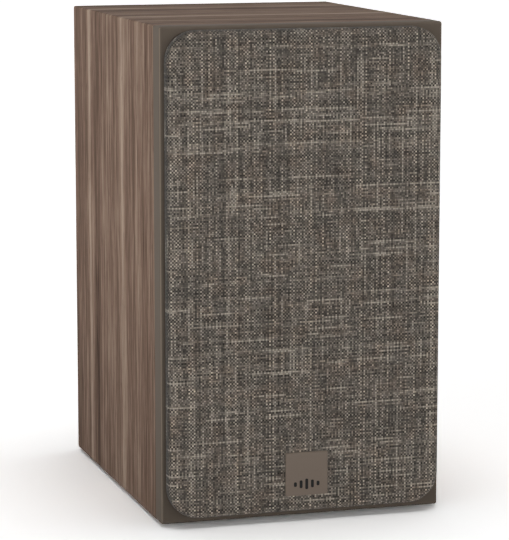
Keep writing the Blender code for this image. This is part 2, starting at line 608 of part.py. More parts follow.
def woofer_basket():
    """The pressed steel basket: flange, ledge for the surround, spokes, spider landing and floor."""
    wall = BASKET_WALL
    shelf = ROLL_OUTER + FIT
    landing = SPIDER_OUTER_RADIUS - LANDING_WIDTH
    outer_cup = SPIDER_OUTER_RADIUS + FIT + wall
    floor = BASKET_DEPTH - wall
    bore = GAP_OUTER + 2 * MM
    profile = [
        (SURROUND_LIP_RADIUS + FIT, FLANGE_FRONT),
        (FLANGE_RADIUS, FLANGE_FRONT),
        (FLANGE_RADIUS, FLANGE_BACK),
        (BASKET_SHOULDER_RADIUS, FLANGE_BACK),
        (BASKET_SHOULDER_RADIUS, BASKET_SHOULDER_DEPTH),
        (outer_cup, SPIDER_LANDING - wall),
        (outer_cup, SPIDER_LANDING + wall),
        (landing + wall, SPIDER_LANDING + wall),
        (landing + wall, BASKET_DEPTH),
        (bore, BASKET_DEPTH),
        (bore, floor),
        (landing, floor),
        (landing, SPIDER_LANDING),
        (SPIDER_OUTER_RADIUS + FIT, SPIDER_LANDING),
        (SPIDER_OUTER_RADIUS + FIT, SPIDER_LANDING - wall),
        (shelf, BASKET_SHOULDER_DEPTH),
        (shelf, LEDGE),
        (SURROUND_LIP_RADIUS + FIT, LEDGE),
    ]
    basket = add("woofer_basket", turned(profile, WOOFER_SEGMENTS), BLACK_STEEL, WOOFER_AT)
    near = BASKET_SHOULDER_DEPTH + 1.5 * wall
    far = SPIDER_LANDING - 1.5 * wall
    reach = BASKET_SHOULDER_RADIUS - landing + 2 * OVERSHOOT
    windows = []
    for k in range(BASKET_SPOKES):
        turn = Matrix.Rotation(math.radians(90 + 360 * k / BASKET_SPOKES), 4, "Y")
        window = block(reach, far - near, BASKET_WINDOW_WIDTH)
        window.transform(turn @ Matrix.Translation((landing + reach / 2, (near + far) / 2, 0)))
        windows.append((window, Vector()))
    boolean(basket, helper("basket_windows", joined(windows), WOOFER_AT))
    spots = around(WOOFER_SCREW_CIRCLE, 4)
    hole = WOOFER_SCREW[2] + SCREW_CLEARANCE
    drill("flange_holes", basket, hole, FLANGE_FRONT - OVERSHOOT, FLANGE_BACK + OVERSHOOT, spots, WOOFER_AT)


def woofer_gasket():
    """The foam ring between the flange and the rebate's floor."""
    front = FLANGE_BACK + FIT
    mesh = ring(WOOFER_HOLE_RADIUS, FLANGE_RADIUS, front, front + GASKET_THICKNESS, WOOFER_SEGMENTS)
    gasket = add("woofer_gasket", mesh, FOAM, WOOFER_AT)
    hole = WOOFER_SCREW[2] + SCREW_CLEARANCE
    back = front + GASKET_THICKNESS + OVERSHOOT
    drill("gasket_holes", gasket, hole, front - OVERSHOOT, back, around(WOOFER_SCREW_CIRCLE, 4), WOOFER_AT)


def screws(name, size, circle, seat, centre):
    """Four pan-head screws round a driver; size is head radius and height, shank radius and length."""
    head, height, shank, length = size
    top = seat - FIT - height
    profile = [
        (0, top),
        (0.6 * head, top),
        (head, top + 0.5 * height),
        (head, seat - FIT),
        (shank, seat - FIT),
        (shank, seat - FIT + length - shank),
        (0, seat - FIT + length),
    ]
    mesh = turned(profile, 10, closed=False)
    for number, spot in enumerate(around(circle, 4), start=1):
        add(f"{name}_{number}", mesh.copy(), BLACK_STEEL, Vector(centre) + spot)


def cone_depth(radius):
    """The depth of the cone's front surface: a curved flare that gets flatter towards the rim."""
    reach = (CONE_FLARE_START - radius) / (CONE_FLARE_START - CONE_NECK)
    return CONE_FRONT + CONE_DEPTH * max(reach, 0.0) ** CONE_FLARE


def woofer_cone():
    """The cone, with a flat rim for the surround; its neck fits round the voice-coil former."""
    radii = [CONE_NECK + (CONE_FLARE_START - CONE_NECK) * k / 6 for k in range(7)]
    front = [(radius, cone_depth(radius)) for radius in radii] + [(CONE_OUTER, CONE_FRONT)]
    back = [(radius, depth + CONE_THICKNESS) for radius, depth in reversed(front)]
    add("woofer_cone", turned([*front, *back], WOOFER_SEGMENTS), FIBRE, WOOFER_AT)


def woofer_surround():
    """The rubber half roll between the cone's rim and the basket's flange."""
    middle = LIP_FRONT + SURROUND_THICKNESS / 2
    centre = (SURROUND_ROLL_CENTRE, middle)
    half = SURROUND_THICKNESS / 2
    crest = arc(centre, SURROUND_ROLL_RADIUS + half, 0, 180, 9)
    under = arc(centre, SURROUND_ROLL_RADIUS - half, 180, 0, 7)
    inner = CONE_FLARE_START + FIT
    front = [(SURROUND_LIP_RADIUS, LIP_FRONT), (ROLL_OUTER + half, LIP_FRONT), *crest[1:-1]]
    front += [(ROLL_INNER - half, LIP_FRONT), (inner, LIP_FRONT)]
    back = [(inner, LIP_BACK), (ROLL_INNER + half, LIP_BACK), *under[1:-1]]
    back += [(ROLL_OUTER - half, LIP_BACK), (SURROUND_LIP_RADIUS, LIP_BACK)]
    add("woofer_surround", turned([*front, *back], WOOFER_SEGMENTS), RUBBER, WOOFER_AT)


def woofer_dust_cap():
    """The domed cap over the former, resting on the cone."""
    rim = cone_depth(DUST_CAP_RADIUS) - FIT - DUST_CAP_THICKNESS
    ball = (DUST_CAP_RADIUS**2 + DUST_CAP_HEIGHT**2) / (2 * DUST_CAP_HEIGHT)
    half = math.asin(DUST_CAP_RADIUS / ball)
    front = []
    for step in range(6):
        angle = half * step / 5
        front.append((ball * math.sin(angle), rim - DUST_CAP_HEIGHT + ball * (1 - math.cos(angle))))
    back = [(radius, depth + DUST_CAP_THICKNESS) for radius, depth in reversed(front)]
    add("woofer_dust_cap", turned([*front, *back], MOTOR_SEGMENTS, closed=False), FIBRE, WOOFER_AT)


def coil(name, inner, wall, winding, start, wound_from, end, place):
    """A voice coil: a thin former with the winding round its far end."""
    profile = [
        (inner, start),
        (inner + wall, start),
        (inner + wall, wound_from),
        (inner + wall + winding, wound_from),
        (inner + wall + winding, end - wall),
        (inner + wall, end - wall),
        (inner + wall, end),
        (inner, end),
    ]
    add(name, turned(profile, MOTOR_SEGMENTS), COPPER, place)


def woofer_spider():
    """The corrugated cloth disc that centres the coil and springs it back."""
    inner = FORMER_OUTER + FIT
    flat = 2.5 * MM
    half = SPIDER_THICKNESS / 2
    steps = 6 * SPIDER_WAVES
    start, stop = inner + flat, SPIDER_OUTER_RADIUS - LANDING_WIDTH - 1 * MM
    middle = [(inner, SPIDER_DEPTH)]
    for step in range(steps + 1):
        wave = SPIDER_WAVE * math.sin(2 * math.pi * SPIDER_WAVES * step / steps)
        middle.append((start + (stop - start) * step / steps, SPIDER_DEPTH - wave))
    middle.append((SPIDER_OUTER_RADIUS, SPIDER_DEPTH))
    front = [(radius, depth - half) for radius, depth in middle]
    back = [(radius, depth + half) for radius, depth in reversed(middle)]
    add("woofer_spider", turned([*front, *back], MOTOR_SEGMENTS), SPIDER_CLOTH, WOOFER_AT)


def yoke(name, place, pole, vent, pole_front, front, back, radius, segments):
    """The back plate with its pole; a vent, when there is one, runs right through."""
    outside = [(pole, pole_front), (pole, front), (radius, front), (radius, back)]
    if vent:
        mesh = turned([(vent, pole_front), *outside, (vent, back)], segments)
    else:
        mesh = turned([(0, pole_front), *outside, (0, back)], segments, closed=False)
    add(name, mesh, STEEL, place)


def woofer_motor():
    """Top plate, ferrite ring and vented yoke, stacked behind the basket."""
    plate_back = TOP_PLATE_FRONT + TOP_PLATE_THICKNESS
    plate = ring(GAP_OUTER, TOP_PLATE_RADIUS, TOP_PLATE_FRONT, plate_back, MOTOR_SEGMENTS)
    add("woofer_top_plate", plate, STEEL, WOOFER_AT)
    magnet = ring(MAGNET_BORE, MAGNET_RADIUS, MAGNET_FRONT, MAGNET_FRONT + MAGNET_THICKNESS, MOTOR_SEGMENTS)
    add("woofer_magnet", magnet, FERRITE, WOOFER_AT)
    yoke(
        "woofer_yoke", WOOFER_AT, POLE_RADIUS, POLE_VENT_RADIUS,
        TOP_PLATE_FRONT, YOKE_FRONT, YOKE_BACK, YOKE_RADIUS, MOTOR_SEGMENTS,
    )


def woofer_tag_strip():
    """The board with two solder tags on the basket's lower side."""
    across, along, thick = TAG_SIZE
    reach = SPIDER_OUTER_RADIUS - LANDING_WIDTH + BASKET_WALL + FIT
    depth = (SPIDER_LANDING + BASKET_WALL + BASKET_DEPTH) / 2
    strip = add("woofer_tag_strip", block(across, along, thick), BLACK_PLASTIC)
    strip.location = (0, BAFFLE_FACE + depth, WOOFER_Z - reach - thick / 2)
    tags = []
    for x in (-across / 4, across / 4):
        tags.append((block(across / 5, along / 2, 7 * MM), Vector((x, 0, -3.5 * MM))))
    boolean(strip, helper("solder_tags", joined(tags), strip.location), "UNION")


def woofer():
    """Every piece of the mid-woofer."""
    woofer_basket()
    woofer_gasket()
    woofer_surround()
    woofer_cone()
    woofer_dust_cap()
    plate_middle = TOP_PLATE_FRONT + TOP_PLATE_THICKNESS / 2
    start = CONE_FRONT + CONE_DEPTH - CONE_THICKNESS
    wound = (plate_middle - WINDING_LENGTH / 2, plate_middle + WINDING_LENGTH / 2)
    coil("woofer_voice_coil", COIL_RADIUS, FORMER_THICKNESS, WINDING_THICKNESS, start, *wound, WOOFER_AT)
    woofer_spider()
    woofer_motor()
    woofer_tag_strip()
    screws("woofer_screw", WOOFER_SCREW, WOOFER_SCREW_CIRCLE, FLANGE_FRONT, WOOFER_AT)


# ---------------------------------------------------------------- tweeter
def tweeter_faceplate():
    """The round plate with a shallow horn round the dome."""
    front = -FACEPLATE_PROUD
    rise = FACEPLATE_BACK - 0.8 * MM - front
    profile = [(FACEPLATE_RADIUS, FACEPLATE_BACK), (FACEPLATE_RADIUS, front + 0.6 * MM)]
    profile.append((FACEPLATE_RADIUS - 0.6 * MM, front))
    for step in range(6):
        reach = step / 5
        radius = WAVEGUIDE_RADIUS + (WAVEGUIDE_THROAT - WAVEGUIDE_RADIUS) * reach
        profile.append((radius, front + rise * reach**1.6))
    profile.append((WAVEGUIDE_THROAT, FACEPLATE_BACK))
    plate = add("tweeter_faceplate", turned(profile, FACEPLATE_SEGMENTS), BLACK_PLASTIC, TWEETER_AT)
    hole = TWEETER_SCREW[2] + SCREW_CLEARANCE
    spots = around(TWEETER_SCREW_CIRCLE, 4)
    drill("faceplate_holes", plate, hole, front - OVERSHOOT, FACEPLATE_BACK + OVERSHOOT, spots, TWEETER_AT)


def tweeter_dome():
    """The soft dome, with a narrow flat rim that sits on the voice-coil former."""
    rim = TWEETER_COIL_RADIUS - FIT
    ball = (rim**2 + DOME_HEIGHT**2) / (2 * DOME_HEIGHT)
    half = math.asin(rim / ball)
    front = []
    for step in range(6):
        angle = half * step / 5
        front.append((ball * math.sin(angle), DOME_LIP_FRONT - DOME_HEIGHT + ball * (1 - math.cos(angle))))
    front.append((DOME_RADIUS, DOME_LIP_FRONT))
    back = [(radius, depth + DOME_THICKNESS) for radius, depth in reversed(front)]
    add("tweeter_dome", turned([*front, *back], TWEETER_SEGMENTS, closed=False), SILK, TWEETER_AT)


def tweeter_surround():
    """The dome's small half roll, out to a flat lip under the faceplate."""
    half = DOME_ROLL_THICKNESS / 2
    centre = (DOME_ROLL_CENTRE, DOME_LIP_FRONT + half)
    crest = arc(centre, DOME_ROLL_RADIUS + half, 0, 180, 6)
    under = arc(centre, DOME_ROLL_RADIUS - half, 180, 0, 5)
    front = [(DOME_LIP_RADIUS, DOME_LIP_FRONT), (crest[0][0], DOME_LIP_FRONT), *crest[1:-1]]
    back = [(crest[-1][0], DOME_LIP_BACK), (under[0][0], DOME_LIP_BACK), *under[1:-1]]
    back += [(under[-1][0], DOME_LIP_BACK), (DOME_LIP_RADIUS, DOME_LIP_BACK)]
    add("tweeter_surround", turned([*front, *back], TWEETER_SEGMENTS), SILK, TWEETER_AT)


def tweeter():
    """Every piece of the tweeter."""
    tweeter_faceplate()
    tweeter_dome()
    tweeter_surround()
    start = DOME_LIP_FRONT + DOME_THICKNESS + FIT
    wound = (start + 0.8 * MM, start + TWEETER_FORMER_LENGTH)
    wall, winding = TWEETER_FORMER_THICKNESS, TWEETER_WINDING_THICKNESS
    coil("tweeter_voice_coil", TWEETER_COIL_RADIUS, wall, winding, start, *wound, TWEETER_AT)
    gap = TWEETER_COIL_RADIUS + wall + winding + COIL_CLEARANCE
    radius = TWEETER_MOTOR_RADIUS
    plate_back = TWEETER_PLATE_FRONT + TWEETER_TOP_PLATE
    plate = ring(gap, radius - 4 * MM, TWEETER_PLATE_FRONT, plate_back, TWEETER_SEGMENTS)
    add("tweeter_top_plate", plate, STEEL, TWEETER_AT)
    magnet_back = TWEETER_MAGNET_FRONT + TWEETER_MAGNET
    magnet = ring(TWEETER_MAGNET_BORE, radius, TWEETER_MAGNET_FRONT, magnet_back, TWEETER_SEGMENTS)
    add("tweeter_magnet", magnet, FERRITE, TWEETER_AT)
    yoke(
        "tweeter_yoke", TWEETER_AT, TWEETER_COIL_RADIUS - COIL_CLEARANCE, 0.0,
        TWEETER_PLATE_FRONT, TWEETER_YOKE_FRONT, TWEETER_YOKE_BACK, radius - 3 * MM, TWEETER_SEGMENTS,
    )
    screws("tweeter_screw", TWEETER_SCREW, TWEETER_SCREW_CIRCLE, -FACEPLATE_PROUD, TWEETER_AT)


# ---------------------------------------------------------------- back of the cabinet
def port_tube():
    """The reflex port: a flared mouth with a rim on the back, and a straight tube inside."""
    mouth = PORT_RIM_THICKNESS + FIT
    flare = []
    for step in range(6):
        inset, depth = edge_step(PORT_FLARE, 90 - 90 * step / 5)
        flare.append((PORT_RADIUS + inset, mouth - depth))
    rim = PORT_HUB_RADIUS + PORT_RIM_WIDTH
    hub_end = 2 * MM - BACK_THICKNESS
    profile = [
        *flare,
        (PORT_RADIUS, -PORT_LENGTH),
        (PORT_OUTER, -PORT_LENGTH),
        (PORT_OUTER, hub_end - PORT_FLARE / 2),
        (PORT_HUB_RADIUS, hub_end),
        (PORT_HUB_RADIUS, FIT),
        (rim, FIT),
        (rim, mouth - 0.6 * MM),
        (rim - 0.6 * MM, mouth),
    ]
    add("port_tube", turned(profile, PORT_SEGMENTS), BLACK_PLASTIC, (0, BACK_FACE, PORT_Z))


def terminal_plate():
    """The moulded plate on the back, with a shallow spigot into the panel and holes for the posts."""
    outline = rounded_rectangle(PLATE_WIDTH, PLATE_HEIGHT, PLATE_CORNER_RADIUS)
    edge = rounded_rectangle(PLATE_WIDTH - 2 * MM, PLATE_HEIGHT - 2 * MM, PLATE_CORNER_RADIUS - 1 * MM)
    back = [(outline, PLATE_BACK), (outline, PLATE_FRONT - 1 * MM), (edge, PLATE_FRONT)]
    place = (0, 0, TERMINAL_Z)
    plate = add("terminal_plate", lofted(back), BLACK_PLASTIC, place)
    spigot = rounded_rectangle(SPIGOT_WIDTH, SPIGOT_HEIGHT, PLATE_CORNER_RADIUS - 1 * MM)
    block_in = lofted([(spigot, PLATE_BACK - SPIGOT_DEPTH), (spigot, PLATE_BACK + PLATE_THICKNESS / 2)])
    boolean(plate, helper("terminal_spigot", block_in, place), "UNION")
    hole = rod(POST_TAIL_RADIUS + FIT, PLATE_BACK - SPIGOT_DEPTH - OVERSHOOT, PLATE_FRONT + OVERSHOOT, 10)
    holes = [(hole, Vector((x, 0, 0))) for x in (-POST_SPACING / 2, POST_SPACING / 2)]
    boolean(plate, helper("post_holes", joined(holes), place))


def binding_post(name, x):
    """A gold-plated post: tail, collar and stud, bored for a plug and drilled across for bare wire."""
    bore_end = POST_END - POST_BORE_DEPTH
    profile = [
        (0, BOARD_FRONT - 3 * MM),
        (POST_TAIL_RADIUS, BOARD_FRONT - 3 * MM),
        (POST_TAIL_RADIUS, COLLAR_BACK),
        (POST_COLLAR_RADIUS, COLLAR_BACK),
        (POST_COLLAR_RADIUS, COLLAR_END),
        (POST_RADIUS, COLLAR_END),
        (POST_RADIUS, POST_END),
        (POST_BORE, POST_END),
        (POST_BORE, bore_end),
        (0, bore_end),
    ]
    place = (x, 0, TERMINAL_Z)
    post = add(name, turned(profile, POST_SEGMENTS, closed=False), GOLD, place)
    across = rod(WIRE_HOLE_RADIUS, -POST_COLLAR_RADIUS, POST_COLLAR_RADIUS, 8)
    across.transform(Matrix.Rotation(math.radians(90), 4, "X"))
    hole = joined([(across, Vector((0, COLLAR_END + FIT + WIRE_HOLE_RADIUS, 0)))])
    boolean(post, helper(f"{name}_wire_hole", hole, place))


def binding_knob(name, look, x):
    """A ribbed knob that screws along its post."""
    teeth = 2 * POST_SEGMENTS
    outlines = {}
    for label, inset in (("full", 0.0), ("edge", KNOB_CHAMFER)):
        outlines[label] = []
        for tooth in range(teeth):
            radius = KNOB_RADIUS - inset - (KNOB_RIB if tooth % 2 else 0.0)
            angle = 2 * math.pi * tooth / teeth
            outlines[label].append((radius * math.cos(angle), radius * math.sin(angle)))
    bore = [
        (THREAD_HOLE * math.cos(2 * math.pi * k / teeth), THREAD_HOLE * math.sin(2 * math.pi * k / teeth))
        for k in range(teeth)
    ]
    sections = [
        (outlines["edge"], 0),
        (outlines["full"], KNOB_CHAMFER),
        (outlines["full"], KNOB_END - KNOB_START - KNOB_CHAMFER),
        (outlines["edge"], KNOB_END - KNOB_START),
        (bore, KNOB_END - KNOB_START),
        (bore, 0),
    ]
    add(name, lofted(sections, closed=True), look, (x, KNOB_START, TERMINAL_Z))


def terminals():
    """The terminal plate with its two binding posts."""
    terminal_plate()
    washer = ring(THREAD_HOLE, WASHER_RADIUS, 0, WASHER_THICKNESS, POST_SEGMENTS)
    for colour, look, side in (("red", RED_PLASTIC, 1), ("black", BLACK_PLASTIC, -1)):
        x = side * POST_SPACING / 2
        binding_post(f"binding_post_{colour}", x)
        add(f"clamp_washer_{colour}", washer.copy(), GOLD, (x, WASHER_START, TERMINAL_Z))
        binding_knob(f"binding_knob_{colour}", look, x)


# ---------------------------------------------------------------- inside the cabinet
def crossover():
    """The board carried on the posts' tails, with two inductors, a capacitor and a resistor."""
    outline = rounded_rectangle(BOARD_WIDTH, BOARD_HEIGHT, 2 * MM, 1)
    place = (0, BOARD_FRONT, TERMINAL_Z)
    board = add("crossover_board", lofted([(outline, 0), (outline, BOARD_THICKNESS)]), BOARD, place)
    spots = [Vector((x, 0, 0)) for x in (-POST_SPACING / 2, POST_SPACING / 2)]
    drill("tail_holes", board, POST_TAIL_RADIUS + FIT, -OVERSHOOT, BOARD_THICKNESS + OVERSHOOT, spots, place)

    seat = BOARD_FRONT - FIT
    low = TERMINAL_Z - BOARD_HEIGHT / 2
    for name, x, z, radius, tall in (
        ("crossover_inductor_large", -BOARD_WIDTH / 2 + 18 * MM, low + 18 * MM, 15 * MM, 16 * MM),
        ("crossover_inductor_small", BOARD_WIDTH / 2 - 14 * MM, low + 50 * MM, 11 * MM, 12 * MM),
    ):
        add(name, ring(0.4 * radius, radius, -tall, 0, 20), COPPER, (x, seat, z))
    can = rod(6.5 * MM, -13 * MM, 13 * MM, 14)
    can.transform(Matrix.Rotation(math.radians(90), 4, "Z"))
    add("crossover_capacitor", can, SILK, (BOARD_WIDTH / 2 - 24 * MM, seat - 6.5 * MM, low + 14 * MM))
    resistor = block(24 * MM, 8 * MM, 8 * MM, 0.6 * MM)
    add("crossover_resistor", resistor, CEMENT, (-BOARD_WIDTH / 2 + 24 * MM, seat - 4 * MM, low + 50 * MM))


def damping_pads():
    """Wadding against the inside of both side boards."""
    length = CABINET_DEPTH - BACK_THICKNESS - PAD_MARGIN - PAD_FRONT
    height = CABINET_HEIGHT - 2 * WALL - 2 * PAD_MARGIN
    x = CABINET_WIDTH / 2 - WALL - FIT - PAD_THICKNESS / 2
    middle = (CABINET_BOTTOM + CABINET_TOP) / 2
    for side, sign in (("left", -1), ("right", 1)):
        pad = block(PAD_THICKNESS, length, height, 1 * MM)
        add(f"damping_pad_{side}", pad, WADDING, (sign * x, BAFFLE_FACE + PAD_FRONT + length / 2, middle))


def lead(name, corners):
    """A sheathed pair of wires along a smooth path through the corners, closed at both ends."""
    path = [Vector(corner) for corner in corners]
    path = [2 * path[0] - path[1], *path, 2 * path[-1] - path[-2]]
    points = []
    for before, start, stop, after in zip(path, path[1:], path[2:], path[3:]):
        count = max(2, round((stop - start).length / LEAD_POINT_SPACING))
        for step in range(count):
            t = step / count
            bend = (2 * start, (stop - before) * t, (2 * before - 5 * start + 4 * stop - after) * t**2)
            points.append((sum(bend, Vector()) + (3 * start - before - 3 * stop + after) * t**3) / 2)
    points.append(path[-2])
    curve = bpy.data.curves.new(name, "CURVE")
    curve.dimensions = "3D"
    curve.bevel_depth = LEAD_RADIUS
    curve.bevel_resolution = 0
    curve.use_fill_caps = True
    spline = curve.splines.new("POLY")
    spline.points.add(len(points) - 1)
    for spot, point in zip(spline.points, points):
        spot.co = (*point, 1.0)
    curve.materials.append(material(*RUBBER))
    made = bpy.data.objects.new(name, curve)
    bpy.context.scene.collection.objects.link(made)


def leads():
    """The two cables from the crossover's lower edge to the drivers."""
    front = BOARD_FRONT - LEAD_RADIUS - 3 * MM
    low = TERMINAL_Z - BOARD_HEIGHT / 2
    tag_z = WOOFER_Z - SPIDER_OUTER_RADIUS - BASKET_WALL - 8 * MM
    tag_y = BAFFLE_FACE + BASKET_DEPTH - 4 * MM
    floor = CABINET_BOTTOM + WALL + LEAD_RADIUS + 5 * MM
    lead(
        "woofer_lead",
        [
            (0, front, low + 26 * MM),
            (0, front - 14 * MM, low + 12 * MM),
            (-4 * MM, front - 34 * MM, floor),
            (-6 * MM, tag_y + 46 * MM, floor),
            (-4 * MM, tag_y + 18 * MM, floor + 6 * MM),
            (0, tag_y, tag_z - 10 * MM),
        ],
    )
    motor = BAFFLE_FACE + TWEETER_YOKE_BACK
    side = PORT_OUTER + 22 * MM
    lead(
        "tweeter_lead",
        [
            (12 * MM, front, TERMINAL_Z + BOARD_HEIGHT / 2 - 8 * MM),
            (24 * MM, front - 12 * MM, TERMINAL_Z + BOARD_HEIGHT / 2 + 8 * MM),
            (side, front - 40 * MM, TERMINAL_Z + BOARD_HEIGHT / 2 + 34 * MM),
            (side, motor + 44 * MM, TWEETER_Z - 22 * MM),
            (24 * MM, motor + 16 * MM, TWEETER_Z - 6 * MM),
            (6 * MM, motor + FIT + LEAD_RADIUS + 1 * MM, TWEETER_Z),
        ],
    )


def main():
    """Clears the scene, then builds the speaker piece by piece."""
    for old in list(bpy.data.objects):
        bpy.data.objects.remove(old, do_unlink=True)
    cabinet_sleeve()
    front_baffle()
    back_panel()
    feet()
    hanger_plate()
    grille_cloth()
    grille_frame()
    grille_sockets()
    badge()
    woofer()
    tweeter()
    port_tube()
    terminals()
    crossover()
    damping_pads()
    leads()


if __name__ == "__main__":
    main()
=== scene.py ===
"""Looks of a bookshelf loudspeaker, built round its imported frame.

Lengths are in metres. +Z is up, the grille faces -Y, and +X is to the right as the grille is faced.
Depths inside the two drivers are measured inwards, along +Y, from the baffle's face.
"""

from __future__ import annotations

import logging
import math
from collections.abc import Sequence
from dataclasses import dataclass
from enum import Enum

import bmesh
import bpy
import numpy as np
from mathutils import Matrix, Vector


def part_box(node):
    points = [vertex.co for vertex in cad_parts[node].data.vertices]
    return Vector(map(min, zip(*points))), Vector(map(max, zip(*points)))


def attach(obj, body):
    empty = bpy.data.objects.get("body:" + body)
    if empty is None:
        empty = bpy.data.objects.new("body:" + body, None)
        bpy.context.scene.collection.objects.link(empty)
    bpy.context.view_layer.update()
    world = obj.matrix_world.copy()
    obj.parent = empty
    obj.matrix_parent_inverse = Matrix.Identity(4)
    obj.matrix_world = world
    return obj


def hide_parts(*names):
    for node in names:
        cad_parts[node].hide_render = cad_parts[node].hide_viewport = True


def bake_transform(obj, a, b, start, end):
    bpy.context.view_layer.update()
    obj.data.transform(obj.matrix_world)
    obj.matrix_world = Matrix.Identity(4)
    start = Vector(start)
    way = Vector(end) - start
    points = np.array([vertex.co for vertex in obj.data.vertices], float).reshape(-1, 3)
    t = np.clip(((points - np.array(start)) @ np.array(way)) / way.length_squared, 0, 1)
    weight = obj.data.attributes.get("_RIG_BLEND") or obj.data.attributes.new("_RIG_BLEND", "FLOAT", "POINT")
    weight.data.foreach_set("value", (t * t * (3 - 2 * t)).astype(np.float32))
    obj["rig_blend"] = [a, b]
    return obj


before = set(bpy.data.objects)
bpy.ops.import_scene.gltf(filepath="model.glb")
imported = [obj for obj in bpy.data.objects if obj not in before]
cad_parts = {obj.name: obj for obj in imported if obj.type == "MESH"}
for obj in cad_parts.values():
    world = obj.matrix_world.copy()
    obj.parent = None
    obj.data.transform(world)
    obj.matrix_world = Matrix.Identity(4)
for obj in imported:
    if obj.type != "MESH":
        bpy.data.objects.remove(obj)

LOG = logging.getLogger("speaker")
MM = 0.001
Colour = tuple[float, float, float]
WHITE = (1.0, 1.0, 1.0)
SQUARE_ON = 0.6  # how much of a normal lies along an axis on a face that looks that way


# ---------------------------------------------------------------- node trees
class Shade:
    """A number, a place or a colour that a node gives, with plain arithmetic on it."""

    def __init__(self, graph: Graph, socket: bpy.types.NodeSocket) -> None:
        """Holds an output of the graph's tree."""
        self.graph = graph
        self.socket = socket

    def __add__(self, other: Shade | float) -> Shade:
        """The two together."""
        return self.graph.sum("ADD", self, other)

    def __sub__(self, other: Shade | float) -> Shade:
        """This less the other."""
        return self.graph.sum("SUBTRACT", self, other)

    def __rsub__(self, other: float) -> Shade:
        """A number less this."""
        return self.graph.sum("SUBTRACT", other, self)

    def __mul__(self, other: Shade | float) -> Shade:
        """This times the other."""
        return self.graph.sum("MULTIPLY", self, other)

    def __truediv__(self, other: Shade | float) -> Shade:
        """This over the other."""
        return self.graph.sum("DIVIDE", self, other)

    def __gt__(self, other: Shade | float) -> Shade:
        """1 where this is more than the other, and else 0."""
        return self.graph.sum("GREATER_THAN", self, other)

    def __lt__(self, other: Shade | float) -> Shade:
        """1 where this is less than the other, and else 0."""
        return self.graph.sum("LESS_THAN", self, other)

    def __abs__(self) -> Shade:
        """This without its sign."""
        return self.graph.sum("ABSOLUTE", self)

    __rmul__ = __mul__


